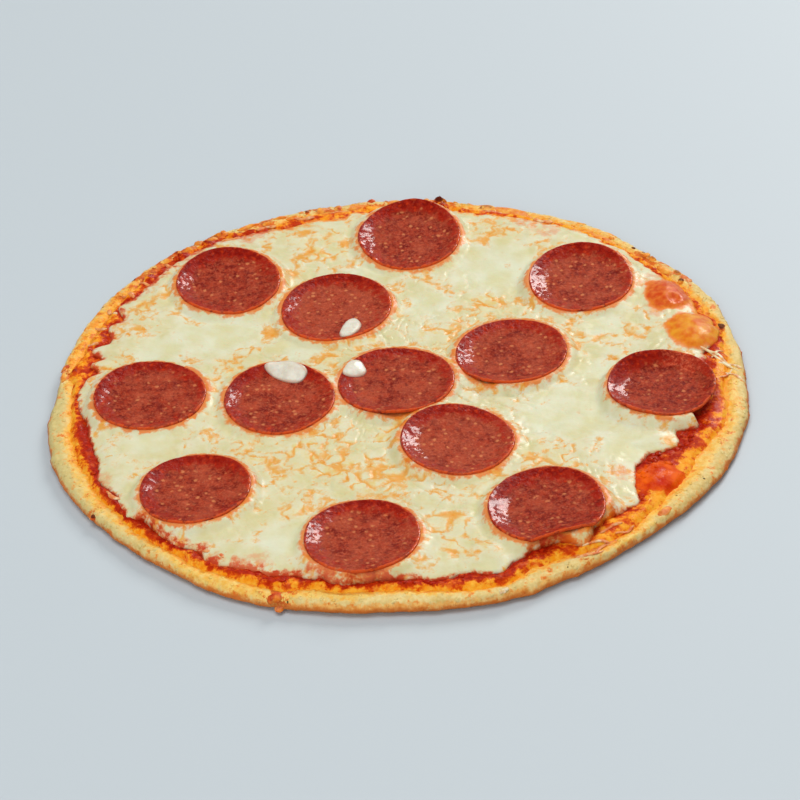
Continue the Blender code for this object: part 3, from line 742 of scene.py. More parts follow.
class Paint(Graph):
    """A material whose colour is laid on in coats."""

    def __init__(self, name, rough=0.5, **constants):
        self.made = bpy.data.materials.new(name)
        self.made.use_nodes = True
        super().__init__(self.made.node_tree)
        self.shader = self.tree.nodes["Principled BSDF"].inputs
        self.shader["Roughness"].default_value = rough
        for key, value in constants.items():
            self.shader[key.replace("_", " ")].default_value = value
        self.spot = self.add("ShaderNodeTexCoord").outputs["Object"]
        self.base = None

    def grain(self, size, detail=2.0, rough=0.5):
        return self.noise(self.spot, size, detail, rough)

    def mottled(self, size, low, high, contrast=0.3):
        """Soft noise between two screen colours."""
        return self.group(mottle, Vector=self.spot, Size=size, Low=colour(*low), High=colour(*high),
                          Contrast=contrast)[0]

    def tear(self, size, detail, rough, amount):
        """Noise between minus and plus an amount, to tear the edges of masks."""
        return self.band(self.grain(size, detail, rough), 0.3, 0.7, -amount, amount)

    def torn(self, name, tear, low, high, share=None):
        """A mask of the mesh with its edge torn."""
        if share is not None:
            tear = self.times(tear, share)
        return self.band(self.plus(self.mask(name), tear), low, high)

    def coat(self, mask, tone, share=None):
        """Lays a colour over the base where a mask allows."""
        if share is not None:
            mask = self.times(mask, share)
        if isinstance(tone, tuple):
            tone = colour(*tone)
        self.base = self.blend(mask, self.base, tone)

    def finish(self, large, small, depth, wetness):
        """Gives the shader its colour and a moist film, and returns the mask of its wet places."""
        self.put(self.shader["Base Color"], self.base)
        film = self.group(grease, Vector=self.spot, Large=large, Small=small, Depth=depth,
                          Wetness=wetness)
        self.put(self.shader["Normal"], film[0])
        return film[1]

    def roughness(self, mask, dry, wet):
        self.put(self.shader["Roughness"], self.band(mask, 0.0, 1.0, dry, wet))


def crust_material():
    p = Paint("baked_crust", 0.6, Subsurface_Weight=0.05, Subsurface_Scale=0.003,
              Specular_IOR_Level=0.18)
    p.base = p.blend(0.4, p.mottled(6.0, (212, 180, 104), (230, 206, 138)),
                     p.mottled(1.3, (204, 162, 86), (236, 215, 156), 0.2))
    tear = p.tear(4.0, 5.0, 0.75, 0.55)
    oil = p.torn("oil", tear, 0.1, 0.9)
    p.coat(oil, p.mottled(2.2, (236, 170, 54), (240, 202, 108)), 0.85)
    # Painted shade: the left side of the rim is dulled to a darker cream.
    p.coat(p.mask("cream"), (198, 184, 122), 0.6)
    p.coat(p.torn("oil_deep", tear, 0.1, 0.9), p.mottled(1.8, (236, 132, 14), (245, 182, 62)), 0.9)
    p.coat(p.torn("toast", tear, 0.1, 0.9), p.mottled(2.4, (222, 138, 50), (242, 186, 102)), 0.92)
    p.coat(p.torn("low", tear, 0.25, 0.95, 0.5), (196, 98, 30), 0.85)
    p.coat(p.torn("crags", tear, 0.35, 0.75, 1.3), p.mottled(2.0, (156, 34, 6), (224, 112, 36)), 0.95)
    p.coat(p.torn("scorch", tear, 0.4, 0.8, 0.7), (84, 34, 10), 0.85)
    p.finish(1.8, 0.6, 0.42, 0.4)
    p.roughness(oil, 0.62, 0.38)
    return p.made


def sauce_material():
    p = Paint("baked_sauce", 0.35, Subsurface_Weight=0.04, Coat_Roughness=0.1,
              Subsurface_Scale=0.002, Specular_IOR_Level=0.08)
    tear = p.tear(4.6, 5.0, 0.7, 0.6)
    depth = p.plus(p.times(p.mask("near_cheese"), p.plus(p.mask("redness"), 0.15)), tear)
    # From golden oil through orange and red to dark tomato.
    p.base = p.mottled(2.0, (239, 140, 12), (244, 176, 56))
    p.coat(p.band(depth, -0.15, 0.45), p.mottled(2.2, (220, 86, 4), (238, 128, 18)))
    p.coat(p.band(depth, 0.08, 0.68), p.mottled(1.6, (170, 26, 6), (208, 68, 14)))
    p.coat(p.band(depth, 0.42, 0.9), p.mottled(1.3, (142, 16, 2), (180, 36, 6)))
    bits = p.cells(p.warp(p.spot, 3.0, 1.4), 3.6)
    bits = p.times(p.band(bits, 0.42, 0.2), p.band(p.grain(8.0), 0.48, 0.58))
    p.coat(bits, (220, 96, 40), 0.5)
    p.coat(p.torn("patch", tear, 0.02, 0.4, 0.3), p.mottled(6.0, (196, 40, 2), (236, 96, 10)))
    p.coat(p.torn("crag", tear, 0.45, 1.0, 0.6), (112, 20, 4), 0.6)
    wet = p.finish(1.5, 0.5, 0.42, 0.5)
    p.roughness(wet, 0.55, 0.3)
    p.put(p.shader["Coat Weight"], p.times(wet, 0.06))
    return p.made


def cheese_material():
    p = Paint("melted_cheese", 0.4, Subsurface_Weight=0.1, Subsurface_Scale=0.004,
              Specular_IOR_Level=0.28)
    p.base = p.mottled(9.0, (207, 197, 145), (220, 218, 194), 0.22)
    pale = p.mask("pale")
    broken = p.noise(p.warp(p.spot, 6.0, 2.0), 9.0, 5.0, 0.72)
    browned = p.calc("SUBTRACT", p.plus(broken, p.times(p.mask("golden"), 0.06)), p.times(pale, 0.14))
    p.coat(p.band(browned, 0.49, 0.71), p.mottled(6.0, (216, 188, 116), (218, 204, 148)))
    p.coat(p.band(pale, 0.2, 1.0), (211, 211, 172), 0.35)
    # Browned seams, first broad and then thin, and flecks away from the seams.
    seam = vein_field(p, p.spot)
    p.coat(p.times(p.band(seam, 0.6, 0.05), p.band(browned, 0.46, 0.6)), (222, 180, 92), 0.5)
    p.coat(p.times(p.band(seam, 0.48, 0.04), p.band(browned, 0.485, 0.61)), (224, 148, 44), 0.78)
    fleck = p.band(p.noise(p.warp(p.spot, 2.4, 0.8), 3.4, 3.0, 0.6), 0.545, 0.7)
    fleck = p.times(p.times(fleck, p.band(browned, 0.46, 0.6)), p.band(seam, 1.0, 0.3))
    p.coat(fleck, (223, 142, 34), 0.84)
    # Oil round the slices, the stained border, and sauce that shows through.
    tear = p.tear(3.6, 4.0, 0.65, 0.45)
    p.coat(p.torn("halo", tear, 0.35, 0.95), (220, 116, 32), 0.88)
    redness = p.band(p.mask("redness"), 0.15, 0.45)
    stain = p.blend(redness, p.mottled(3.4, (236, 152, 40), (238, 196, 108)),
                    p.mottled(3.0, (208, 84, 28), (226, 142, 70)))
    p.coat(p.torn("thin", tear, 0.35, 1.15), stain, 0.85)
    run = p.blend(redness, colour(232, 122, 14), colour(188, 48, 14))
    p.coat(p.torn("thin", tear, 0.72, 1.15), run, 0.85)
    p.coat(p.torn("pink", tear, 0.5, 1.25), (220, 124, 82), 0.45)
    # Blisters with a darker edge, the redder first one, and a scorched spot.
    raised = p.plus(p.mask("blister"), p.times(tear, 0.16))
    p.coat(p.band(raised, 0.06, 0.34), p.mottled(4.0, (214, 100, 2), (228, 152, 32)))
    p.coat(p.times(p.band(raised, 0.06, 0.2), p.band(raised, 0.4, 0.24)), (232, 118, 34), 0.6)
    p.coat(p.torn("rose", tear, 0.1, 0.5, 0.2), p.mottled(1.9, (200, 50, 0), (220, 108, 38)), 0.85)
    p.coat(p.torn("scorch", tear, 0.4, 1.0), (140, 40, 10), 0.85)
    p.roughness(p.finish(3.0, 1.0, 0.13, 0.5), 0.5, 0.3)
    return p.made


def slice_material():
    p = Paint("pepperoni", 0.5, Specular_IOR_Level=0.08, Coat_Roughness=0.13,
              Subsurface_Weight=0.03, Subsurface_Scale=0.002)
    p.base = p.blend(p.band(p.grain(2.8, 4.0, 0.7), 0.36, 0.64), colour(114, 20, 11),
                     colour(162, 54, 30))
    broad = p.plus(p.grain(8.0, 3.0), p.times(p.mask("light"), 0.12))
    p.coat(p.band(broad, 0.4, 0.66), (182, 82, 54), 0.5)
    strands = p.noise(p.warp(p.spot, 2.0, 1.2), 0.9, 3.0, 0.7)
    p.coat(p.band(strands, 0.46, 0.66), (200, 102, 68), 0.42)
    # Dark pits and pale bits of fat.
    p.coat(p.band(p.grain(1.5), 0.42, 0.34), (96, 8, 4), 0.45)
    cell = p.warp(p.spot, 1.6, 0.6)
    chosen = p.band(p.cells(cell, 2.6, "Color"), 0.5, 0.62)
    p.coat(p.times(p.band(p.cells(cell, 2.6), 0.36, 0.12), chosen), (212, 128, 80), 0.7)
    # Darker rim walls with bright specks, darkest on the far wall as painted shade, a painted sheen on the
    # tilted slice, and the baked lip.
    tear = p.tear(2.6, 3.0, 0.6, 0.35)
    wall = p.torn("wall", tear, 0.15, 0.8)
    # Painted shade: the rim walls darken, most on the far side.
    p.coat(wall, (158, 26, 8), 0.85)
    p.coat(p.torn("wall", tear, 0.7, 1.15), (122, 8, 2), 0.8)
    specks = p.band(p.cells(p.warp(p.spot, 2.0, 1.0), 2.4), 0.4, 0.1)
    p.coat(p.times(specks, wall), (212, 62, 20), 0.5)
    grain = p.band(p.grain(1.1, 3.0, 0.7), 0.42, 0.62, 0.1, 0.8)
    # Painted sheen: lighter pink on the bumps of the tilted slice's far right wall.
    p.coat(p.torn("blush", tear, 0.3, 1.1), (214, 100, 68), grain)
    p.coat(p.torn("lip", tear, 0.4, 1.0, 1.6), (214, 84, 32), 0.75)
    p.finish(1.7, 0.6, 0.46, 0.6)
    p.roughness(wall, 0.58, 0.3)
    ragged = p.band(p.noise(p.warp(p.spot, 1.6, 0.8), 1.3, 3.0, 0.6), 0.34, 0.66, -0.7, 0.6)
    glints = p.band(p.cells(p.spot, 3.4), 0.14, 0.05)
    wet = p.plus(p.times(p.torn("gloss", ragged, 0.44, 0.58), 0.6), p.times(glints, 0.4))
    p.put(p.shader["Coat Weight"], wet)
    return p.made


def lump_material():
    """Baked sauce and cheese on the rim, from golden to dark red, with browned tips."""
    p = Paint("baked_lumps", 0.45, Subsurface_Weight=0.04, Subsurface_Scale=0.002,
              Specular_IOR_Level=0.25)
    tear = p.tear(5.0, 4.0, 0.6, 0.45)
    p.base = p.mottled(3.0, (228, 120, 18), (240, 176, 76))
    p.coat(p.torn("redness", tear, 0.3, 1.05), p.mottled(2.4, (176, 42, 10), (220, 92, 30)))
    p.coat(p.band(p.grain(3.2), 0.54, 0.66), (224, 132, 88), 0.6)
    p.coat(p.torn("tip", tear, 0.4, 0.9, 0.5), (76, 22, 6), 0.88)
    p.roughness(p.finish(1.2, 0.4, 0.4, 0.5), 0.55, 0.3)
    return p.made


def shred_material():
    """Melted shreds of cheese, pale to orange."""
    p = Paint("cheese_shred", 0.4, Subsurface_Weight=0.1, Subsurface_Scale=0.003,
              Specular_IOR_Level=0.35)
    p.base = p.mottled(2.0, (214, 102, 50), (232, 160, 92))
    white = p.torn("whiteness", p.tear(3.0, 3.0, 0.6, 0.3), 0.4, 1.0)
    p.coat(white, p.mottled(2.0, (222, 190, 128), (238, 226, 190)))
    p.roughness(p.finish(1.6, 0.5, 0.2, 0.5), 0.5, 0.28)
    return p.made


def herb_material():
    p = Paint("dried_herb", 0.7, Specular_IOR_Level=0.2)
    p.base = p.mottled(0.5, (66, 48, 18), (112, 96, 44))
    p.finish(0.6, 0.2, 0.1, 0.2)
    return p.made


def drop_material():
    """White cheese, reddened where the drop is thin."""
    p = Paint("white_cheese", 0.35, Subsurface_Weight=0.15, Subsurface_Scale=0.003,
              Specular_IOR_Level=0.4)
    p.base = p.mottled(3.0, (210, 201, 182), (228, 222, 206), 0.2)
    p.coat(p.band(p.mask("thin"), 0.3, 1.0), (198, 134, 100), 0.4)
    p.roughness(p.finish(2.4, 0.8, 0.16, 0.5), 0.45, 0.2)
    return p.made


crust_paint = crust_material()
sauce_paint = sauce_material()
slice_paint = slice_material()
drop_paint = drop_material()
lump_paint = lump_material()

# Crust: rings over the top, down the round side, and under it to the middle.
round_crust = turns(720)
crust_r = outlines(np.degrees(round_crust))[2]
rings = [ring(r, round_crust, crust_top) for r in (40.0, 80.0, 98.0, 104.0)]
for share in np.linspace(0.0, 1.0, 44):
    rings.append(ring(106.0 + share * (crust_r - 106.0), round_crust, crust_top))
side = rings[-1][:, 2]
for share in np.linspace(0.1, 1.0, 9):
    u = 40 * np.cos(round_crust) + 9 * share
    inward = RIM_TUCK * share ** 1.8 + 0.12 * rugged(u, 40 * np.sin(round_crust), 1.6, 81)
    rings.append(ring(crust_r - inward, round_crust, side * (1.0 - share) ** 1.15))
for share in (0.96, 0.85, 0.6, 0.3):
    rings.append(ring((crust_r - RIM_TUCK) * share, round_crust, 0.0))
crust = skin("crust_dough", rings, pole(crust_top), (0.0, 0.0, 0.0))
x, y, z = where(crust)
r, degrees, cheese_at, sauce_at, crust_at = plan(x, y)
full_turn = np.mod(degrees, 360.0)
soak = through(OIL_OUTLINE, degrees)
toast_at = through(TOAST_ROUND, degrees)
amber_side = np.maximum(span(128.0, 136.0, 168.0, 174.0, degrees),
                        0.7 * span(40.0, 47.0, 74.0, 80.0, degrees))
deep_oil = np.maximum(ease(sauce_at + 2.6, sauce_at - 0.8, r),
                      0.85 * amber_side * ease(crust_at - 0.6, crust_at - 3.4, r))
toast = ease(toast_at, toast_at + 0.25, (r - sauce_at) / (crust_at - sauce_at)) * ease(0.0, 1.2, z)
craggy = through(CRAG_ROUND, degrees)
rim = ease(sauce_at + 0.4, sauce_at + 1.2, r) * ease(1.0, 2.4, z)
mark(crust, oil=ease(soak + 1.8, soak - 1.8, r), oil_deep=deep_oil,
     # painted shade over the left side of the rim, outside the oil
     cream=span(165.0, 178.0, 212.0, 232.0, full_turn) * ease(soak, soak + 2.0, r),
     toast=toast + 0.6 * ease(1.2, 0.0, z),
     low=ease(4.4, 2.0, z) * ease(crust_at - 3.0, crust_at - 1.2, r),
     crags=craggy * ease(crust_at + 0.6, crust_at - 1.2, r) * ease(2.0, 3.6, z),
     scorch=marks_round(x, y, [row + (1.0,) for row in RIM_SCORCHES], 0.4, 1.3),
     rim=rim, redness=through(RED_ROUND, degrees),
     craggy=rim * craggy * ease(crust_at, crust_at - 1.5, r))
crust.data.materials.append(crust_paint)
place(crust, "crust", "crust")

# Sauce: close rings where it is bare, and a skin under the cheese.
round_sauce = turns(1100)
reach = outlines(np.degrees(round_sauce))[1] + 0.5
rings = [ring(r, round_sauce, sauce_top) for r in (50.0, 85.0, 96.0)]
for share in np.linspace(0.0, 1.0, 52):
    rings.append(ring(99.0 + share * (reach - 99.0), round_sauce, sauce_top))
for radius, below in ((reach - 0.4, 0.5), (reach - 6.0, 0.6), (60.0, 0.6)):
    rings.append(ring(radius, round_sauce, lambda x, y: crust_top(x, y) - below))
sauce = skin("sauce_layer", rings, pole(sauce_top), pole(lambda x, y: crust_top(x, y) - 0.6))
x, y, z = where(sauce)
r, degrees, cheese_at, sauce_at, crust_at = plan(x, y)
redness = through(RED_ROUND, degrees)
near_cheese = ease(sauce_at - 0.3, cheese_at + 0.3, r)
bare = ease(cheese_at - 0.5, cheese_at + 0.6, r) * ease(sauce_at + 0.2, sauce_at - 1.0, r)
bare = bare * ease(0.2, 0.7, redness * near_cheese) * through(GRAINS_ROUND, degrees)
crag_rows = [(angle, radius, size, min(1.0, high / 2.0)) for angle, radius, size, high in CRAGS]
mark(sauce, near_cheese=near_cheese, redness=redness, crag=marks_round(x, y, crag_rows, 0.3, 1.2),
     patch=domes(x, y, SAUCE_DOMES) / SAUCE_DOMES[0][-1],
     bare=bare * ease(0.0, 0.8, z - crust_top(x, y)))
sauce.data.materials.append(sauce_paint)
place(sauce, "sauce", "sauce")

# Cheese: even rings from the middle to the ragged edge.
round_cheese = np.radians(np.arange(600) * 0.6)
melt_r = outlines(np.degrees(round_cheese))[0]
rings = [ring(share * melt_r, round_cheese, cheese_top) for share in np.linspace(0.0, 1.0, 150)[1:]]
for share in (0.97, 0.8, 0.4):
    rings.append(ring(share * melt_r, round_cheese, lambda x, y: crust_top(x, y) + 0.4))
cheese = skin("cheese_sheet", rings, pole(cheese_top), (0.0, 0.0, 3.0))
x, y, z = where(cheese)
r, degrees, cheese_at, sauce_at, crust_at = plan(x, y)
distance = np.min([outside(piece, x, y) for piece in SLICES.values()], axis=0)
pale = spots(x, y, PALE_PLACES)
dome = domes(x, y, CHEESE_DOMES)
dome_high = CHEESE_DOMES[1][-1]
outward = ease(114.0, 119.0, r) * span(5.0, 9.0, 26.0, 31.0, degrees)
relief = ease(-1.0, 3.0, distance) * ease(cheese_at - 0.5, cheese_at - 5.0, r)
relief = relief * ease(0.2, 0.6, z - crust_top(x, y)) * (1.0 - 0.8 * pale) * ease(0.6, 0.1, dome)
mark(cheese, golden=spots(x, y, GOLDEN_PLACES), pale=pale, pink=spots(x, y, PINK_PLACES),
     halo=ease(3.3, 0.3, distance), redness=through(RED_ROUND, degrees),
     thin=ease(cheese_at - through(STAIN_ROUND, degrees), cheese_at, r),
     blister=np.maximum(dome / dome_high, outward),
     rose=domes(x, y, CHEESE_DOMES[:1]) / dome_high,
     scorch=ease(3.6, 1.0, np.hypot(x - 121.0, y - 19.2)), relief=relief)


def melt_tree():
    """Raises melted blobs between the seams of the cheese where its relief mask allows."""
    tree, g, start, end = new_tree(
        "melted_blobs", "GeometryNodeTree",
        (("Geometry", "Geometry", None), ("Blob Height", "Float", 0.45), ("Fine Height", "Float", 0.12),
         ("Material", "Material", None)), (("Geometry", "Geometry"),))
    spot = g.add("GeometryNodeInputPosition").outputs[0]
    blob = g.times(g.band(vein_field(g, spot), 0.0, 0.3), start["Blob Height"])
    fine = g.times(g.noise(spot, 3.0), start["Fine Height"])
    rise = g.times(g.plus(blob, fine), g.stored("relief"))
    up = g.add("ShaderNodeCombineXYZ", {"Z": g.times(rise, MM)}).outputs[0]
    g.put(end["Geometry"], g.chain(
        start["Geometry"], ("GeometryNodeSetPosition", {"Offset": up}),
        ("GeometryNodeRealizeInstances", {}),
        ("GeometryNodeSetMaterial", {"Material": start["Material"]})))
    return tree


def grown(obj, tree, **values):
    """Runs a Geometry Nodes tree on an object and keeps the result as its plain mesh."""
    modifier = obj.modifiers.new("nodes", "NODES")
    modifier.node_group = tree
    for item in tree.interface.items_tree:
        label = item.name.replace(" ", "_")
        if item.in_out == "INPUT" and label in values:
            modifier[item.identifier] = values[label]
    bpy.context.view_layer.update()
    graph = bpy.context.evaluated_depsgraph_get()
    result = bpy.data.meshes.new_from_object(obj.evaluated_get(graph), depsgraph=graph)
    obj.modifiers.clear()
    obj.data = result


grown(cheese, melt_tree(), Blob_Height=0.45, Fine_Height=0.15, Material=cheese_material())
place(cheese, "cheese", "cheese")


def make_slice(name, piece):
    """A cupped slice with a rounded lip, and the masks of its meat."""
    turn = turns(180)
    seat = seat_height(name)
    thick = 1.1 * SLICE_THICK

    def layer(share, lower, swell=0.0):
        radius = slice_edge(piece, turn) * share + swell
        px = piece.x + radius * np.cos(turn)
        py = piece.y + radius * np.sin(turn)
        return np.stack([px, py, slice_top(piece, px, py) - lower + seat], -1)

    rings = [layer(share, 0.0) for share in np.linspace(0.0, 0.58, 17)[1:]]
    rings += [layer(share, 0.0) for share in np.linspace(0.58, 0.975, 27)[1:]]
    for lean in math.pi * np.arange(1, 8) / 8:
        rings.append(layer(0.975, 0.55 * SLICE_THICK * (1 - math.cos(lean)), 0.5 * math.sin(lean)))
    rings += [layer(share, thick) for share in (0.97, 0.88, 0.75, 0.5, 0.25)]
    middle = at_point(lambda x, y: slice_top(piece, x, y), piece.x, piece.y) + seat
    made = skin(name.replace("pepperoni_", "pepperoni_slice_"), rings, (piece.x, piece.y, middle),
                (piece.x, piece.y, middle - thick))
    x, y, z = where(made)
    share, angle = slice_share(piece, x, y)
    # back is 1 on the far side of the slice, where the wall gets the most painted shade and the baked lip is
    # weakest.
    back = ease(0.1, 0.9, 0.5 + 0.5 * np.cos(np.radians(np.degrees(angle) - 118)))
    lip = ease(0.93, 0.985, share) * (0.45 + 0.55 * (1.0 - back))
    # Only the most tilted slice has a thick near lip and a painted sheen on its far right wall.
    most_tilted = float(name == "pepperoni_09")
    thick_lip = most_tilted * toward(angle, 235, 42.0) * ease(0.89, 0.96, share)
    mark(made, lip=np.maximum(lip, thick_lip), light=np.full_like(x, piece.light),
         # rim walls darkened all round, more on the far side as painted shade
         wall=ease(0.60, 0.92, share) * (0.35 + 0.65 * back) + 0.35 * max(0.0, piece.wet - 1.2),
         blush=most_tilted * toward(angle, 52, 34.0) * ease(0.56, 0.78, share),
         gloss=piece.wet * toward(angle, 168, 42.0) * ease(0.60, 0.74, share)
         + 0.8 * toward(angle, -12, 38.0) * ease(0.90, 0.97, share))
    made.data.materials.append(slice_paint)
    place(made, "pepperoni", name)


for name, piece in SLICES.items():
    make_slice(name, piece)


def make_drop(name, under, cx, cy, long, wide, degrees, high):
    """A drop of white cheese that lies on a slice and may hang over its edge."""
    carrier = SLICES[under]
    turn = turns(64)
    lean = math.radians(degrees)

    def ground(px, py):
        away, angle = polar(carrier, px, py)
        edge = slice_edge(carrier, angle)
        keep = np.minimum(1.0, 0.97 * edge / np.maximum(away, 1e-6))
        inside = slice_top(carrier, carrier.x + keep * (px - carrier.x),
                           carrier.y + keep * (py - carrier.y)) + seat_height(under)
        return inside - 1.6 * ease(1.0, 4.0, away - edge)

    def layer(share, rise):
        uneven = 1.0 + 0.10 * np.cos(2 * turn + cx) + 0.07 * np.cos(3 * turn + cy)
        v = wide * share * np.sin(turn) * uneven * (1.0 + 0.12 * np.cos(turn))
        px, py = moved(cx, cy, long * share * np.cos(turn) * uneven, v, lean)
        return np.stack([px, py, ground(px, py) + rise], -1)

    rings = []
    for share in np.linspace(0.0, 1.0, 15)[1:]:
        rings.append(layer(share, high * math.sqrt(max(0.0, 1.0 - share ** 2.6)) - 0.05 * share))
    rings += [layer(0.8, -0.3), layer(0.4, -0.3)]
    middle = at_point(ground, cx, cy)
    made = skin(name, rings, (cx, cy, middle + high), (cx, cy, middle - 0.3))
    x, y, z = where(made)
    u, v = moved(0.0, 0.0, x - cx, y - cy, -lean)
    mark(made, thin=ease(0.75, 1.0, np.hypot(u / long, v / wide)))
    made.data.materials.append(drop_paint)
    place(made, "cheese_drop", name)


for name, row in DROPS.items():
    make_drop(name, *row)


def rim_lumps():
    """Uneven balls sunk into the rim, the low golden ones drawn out along it."""
    shape = bmesh.new()
    bmesh.ops.create_icosphere(shape, subdivisions=3, radius=1.0)
    ux, uy, uz = np.array([v.co[:] for v in shape.verts]).T
    faces = [[v.index for v in face.verts] for face in shape.faces]
    shape.free()
    parts = []
    redness = []
    tips = []
    for index, (angle, radius, half, high, red, brown) in enumerate(RIM_LUMPS):
        cx, cy = on_circle(angle, radius)
        shift = 13.0 * index
        bend = 1.0 + 0.34 * rugged(ux + shift + uz, uy + shift, 0.9, 91)
        soft = float(red < 0.45 and brown < 0.3)
        peak = 1.0 - 0.45 * np.clip(uz, 0.0, 1.0) * min(1.0, high / 3.0)
        u = ux * half * bend * (0.85 + 0.25 * math.sin(shift))
        v = uy * half * bend * (1.15 + 0.25 * math.cos(shift) + 0.9 * soft)
        w = np.where(uz > 0.0, uz * high * (1.0 - 0.25 * soft), uz * 0.8) * bend
        px, py = moved(cx, cy, u * peak, v * peak, math.radians(angle))
        parts.append((np.stack([px, py, at_point(surface, cx, cy) - 0.4 + w], -1), faces))
        redness.append(np.full(len(ux), red))
        tips.append(brown * ease(0.1, 0.9, uz))
    made = joined("rim_lumps", parts)
    mark(made, redness=np.concatenate(redness), tip=np.concatenate(tips))
    made.data.materials.append(lump_paint)
    place(made, "sauce")


def shreds():
    """Thin flat threads of melted cheese that follow what they lie on."""
    sides = 8
    around = turns(sides)
    steps = np.linspace(0.0, 1.0, 15)
    faces = [(sides * i + j, sides * i + (j + 1) % sides, sides * (i + 1) + (j + 1) % sides,
              sides * (i + 1) + j) for i in range(len(steps) - 1) for j in range(sides)]
    faces.append(tuple(range(sides - 1, -1, -1)))
    faces.append(tuple(range(sides * (len(steps) - 1), sides * len(steps))))
    parts = []
    whiteness = []
    for start, end, bow, half, white in SHREDS:
        across = np.array([-(end[1] - start[1]), end[0] - start[0]])
        across = across / np.hypot(*across)
        wiggle = bow * np.sin(math.pi * steps) + 0.22 * np.sin(9.0 * steps + start[0])
        px = start[0] + (end[0] - start[0]) * steps + across[0] * wiggle
        py = start[1] + (end[1] - start[1]) * steps + across[1] * wiggle
        pz = np.convolve(np.pad(surface(px, py), 2, mode="edge"), np.ones(5) / 5, mode="valid") + 0.12
        thick = 1.5 * half * np.sqrt(np.clip(1.0 - (2.0 * steps - 1.0) ** 4, 0.02, 1.0))
        thick = thick * (1.0 + 0.25 * np.sin(7.0 * steps + start[1]))
        flow = np.stack([np.gradient(px), np.gradient(py)], -1)
        flow = flow / np.hypot(flow[:, 0], flow[:, 1])[:, None]
        aside = thick[:, None] * np.cos(around)
        points = np.stack([px[:, None] - flow[:, 1:] * aside, py[:, None] + flow[:, :1] * aside,
                           pz[:, None] + 0.5 * thick[:, None] * np.sin(around)], -1).reshape(-1, 3)
        parts.append((points, faces))
        whiteness.append(np.full(len(points), white))
    made = joined("cheese_shreds", parts)
    mark(made, whiteness=np.concatenate(whiteness))
    made.data.materials.append(shred_material())
    place(made, "cheese")


rim_lumps()
shreds()


def scatter_tree():
    """Scatters small uneven lumps over a surface where its mask allows."""
    tree, g, start, end = new_tree(
        "scattered_bits", "GeometryNodeTree",
        (("Geometry", "Geometry", None), ("Mask", "String", None),
         ("Per Square Metre", "Float", 1000.0), ("Least Size", "Float", 0.4), ("Most Size", "Float", 1.0),
         ("Length", "Float", 1.0), ("Flatness", "Float", 0.6), ("Seed", "Int", 1),
         ("Material", "Material", None)), (("Geometry", "Geometry"),))

    def drawn(low, high, seed):
        """A random value for each point."""
        inputs = {2: low, 3: high, "Seed": seed}
        return g.add("FunctionNodeRandomValue", inputs, data_type="FLOAT").outputs[1]

    points = g.add("GeometryNodeDistributePointsOnFaces", {
        "Mesh": start["Geometry"], "Seed": start["Seed"],
        "Density": g.times(start["Per Square Metre"], g.stored(start["Mask"]))}).outputs
    lump = g.add("GeometryNodeMeshIcoSphere", {"Radius": 0.5 * MM, "Subdivisions": 2}).outputs[0]
    spot = g.add("GeometryNodeInputPosition").outputs[0]
    push = g.add("ShaderNodeVectorMath", {
        0: spot, "Scale": g.band(g.noise(spot, 0.6), 0.25, 0.75, -0.35, 0.45)}, operation="SCALE").outputs[0]
    turn = g.add("ShaderNodeCombineXYZ", {"Z": drawn(-3.14, 3.14, start["Seed"])}).outputs[0]
    facing = g.add("FunctionNodeRotateRotation", {
        0: points["Rotation"], 1: g.add("FunctionNodeEulerToRotation", {0: turn}).outputs[0]},
        rotation_space="LOCAL").outputs[0]
    size = drawn(start["Least Size"], start["Most Size"], g.plus(start["Seed"], 7.0))
    scale = g.add("ShaderNodeCombineXYZ", {
        "X": g.times(size, start["Length"]), "Y": size, "Z": g.times(size, start["Flatness"])}).outputs[0]
    placed = g.add("GeometryNodeInstanceOnPoints", {
        "Points": points["Points"], "Instance": g.chain(lump, ("GeometryNodeSetPosition", {"Offset": push})),
        "Rotation": facing, "Scale": scale}).outputs[0]
    tint = g.plus(g.stored("redness"), drawn(-0.3, 0.3, g.plus(start["Seed"], 13.0)))
    stored = g.add("GeometryNodeStoreNamedAttribute", {"Geometry": placed, "Name": "redness", "Value": tint},
                   data_type="FLOAT", domain="INSTANCE").outputs[0]
    g.put(end["Geometry"], g.chain(
        stored, ("GeometryNodeRealizeInstances", {}), ("GeometryNodeSetShadeSmooth", {}),
        ("GeometryNodeSetMaterial", {"Material": start["Material"]})))
    return tree


bits_tree = scatter_tree()
# What is scattered, on what, its slot and mask, how many on a square metre, sizes in millimetres
# from least to most, length, flatness, seed and material.
for name, host, slot, mask, count, least, most, length, flatness, seed, paint in (
        ("sauce_grains", sauce, "sauce", "bare", 80000.0, 0.7, 2.2, 1.3, 0.42, 3, sauce_paint),
        ("crust_crumbs", crust, "crust", "rim", 90000.0, 0.4, 1.3, 1.2, 0.35, 5, crust_paint),
        ("rim_grains", crust, "sauce", "craggy", 40000.0, 1.2, 3.0, 1.4, 0.4, 8, lump_paint),
        ("herb_flecks", crust, "crust", "rim", 3500.0, 0.25, 0.6, 1.8, 0.25, 11, herb_material())):
    made = linked(name, host.data.copy())
    grown(made, bits_tree, Mask=mask, Per_Square_Metre=count, Least_Size=least, Most_Size=most,
          Length=length, Flatness=flatness, Seed=seed, Material=paint)
    made.data.name = name
    place(made, slot)

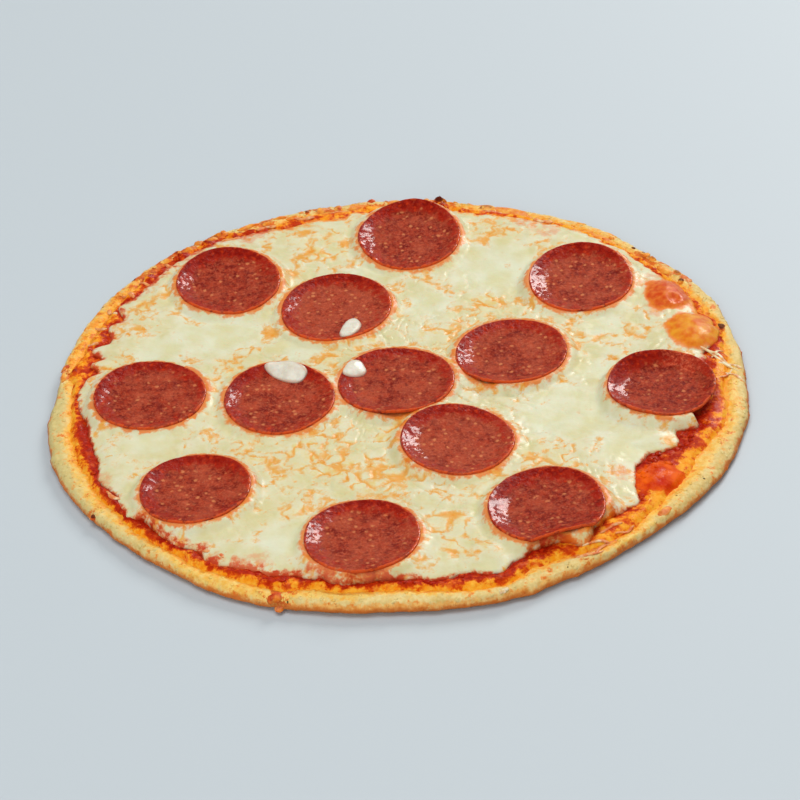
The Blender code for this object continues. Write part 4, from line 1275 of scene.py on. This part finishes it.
# Floor, lights and camera
floor_mesh = bpy.data.meshes.new("floor")
floor_mesh.from_pydata([(-6, -6, -0.0003), (6, -6, -0.0003), (6, 6, -0.0003), (-6, 6, -0.0003)],
                       [], [(0, 1, 2, 3)])
floor_mesh.materials.append(Paint("pale_floor", 0.6, Base_Color=(0.51, 0.56, 0.59, 1.0)).made)
floor = linked("floor", floor_mesh)

world = bpy.data.worlds.new("studio")
world.use_nodes = True
world.node_tree.nodes["Background"].inputs[0].default_value = (0.93, 0.97, 1.0, 1.0)
world.node_tree.nodes["Background"].inputs[1].default_value = 0.28
bpy.context.scene.world = world


def softbox(name, at, size, power, tint):
    """Square area light of a size in metres, aimed at the middle of the pizza."""
    lamp = bpy.data.lights.new(name, "AREA")
    lamp.shape = "SQUARE"
    lamp.size = size
    lamp.energy = power
    lamp.color = tint
    made = linked(name, lamp)
    made.location = at
    made.rotation_euler = (Vector((0, 0, 0)) - Vector(at)).to_track_quat("-Z", "Y").to_euler()
    return made


softbox("key_window", (0.92, 1.55, 1.18), 0.8, 26.0, (1.0, 0.98, 0.95))
for fill in (softbox("top_fill", (-0.3, -0.2, 2.2), 1.6, 26.0, (0.97, 0.99, 1.0)),
             softbox("front_fill", (-0.7, -2.0, 1.1), 1.5, 22.0, (1.0, 0.98, 0.96))):
    fill.visible_glossy = False

# The camera looks down from the front at the aim point, and is a little tilted to one side.
camera_data = bpy.data.cameras.new("camera")
camera_data.lens = 108.0
camera_data.sensor_width = 36.0
camera_data.clip_start = 0.01
camera_data.clip_end = 50.0
camera = linked("camera", camera_data)
rise = math.radians(35.47)
roll = math.radians(3.67)
aim = Vector((0.00089, -0.00692, 0.0))
distance = 0.86963
back = Vector((0.0, -math.cos(rise), math.sin(rise)))
right = Vector((1.0, 0.0, 0.0))
up = Vector((0.0, math.sin(rise), math.cos(rise)))
side = right * math.cos(roll) - up * math.sin(roll)
top = right * math.sin(roll) + up * math.cos(roll)
turned = Matrix((side, top, back)).transposed().to_4x4()
camera.matrix_world = Matrix.Translation(aim + back * distance) @ turned
bpy.context.scene.camera = camera
bpy.context.scene.view_settings.view_transform = "Standard"
bpy.context.scene.view_settings.look = "None"
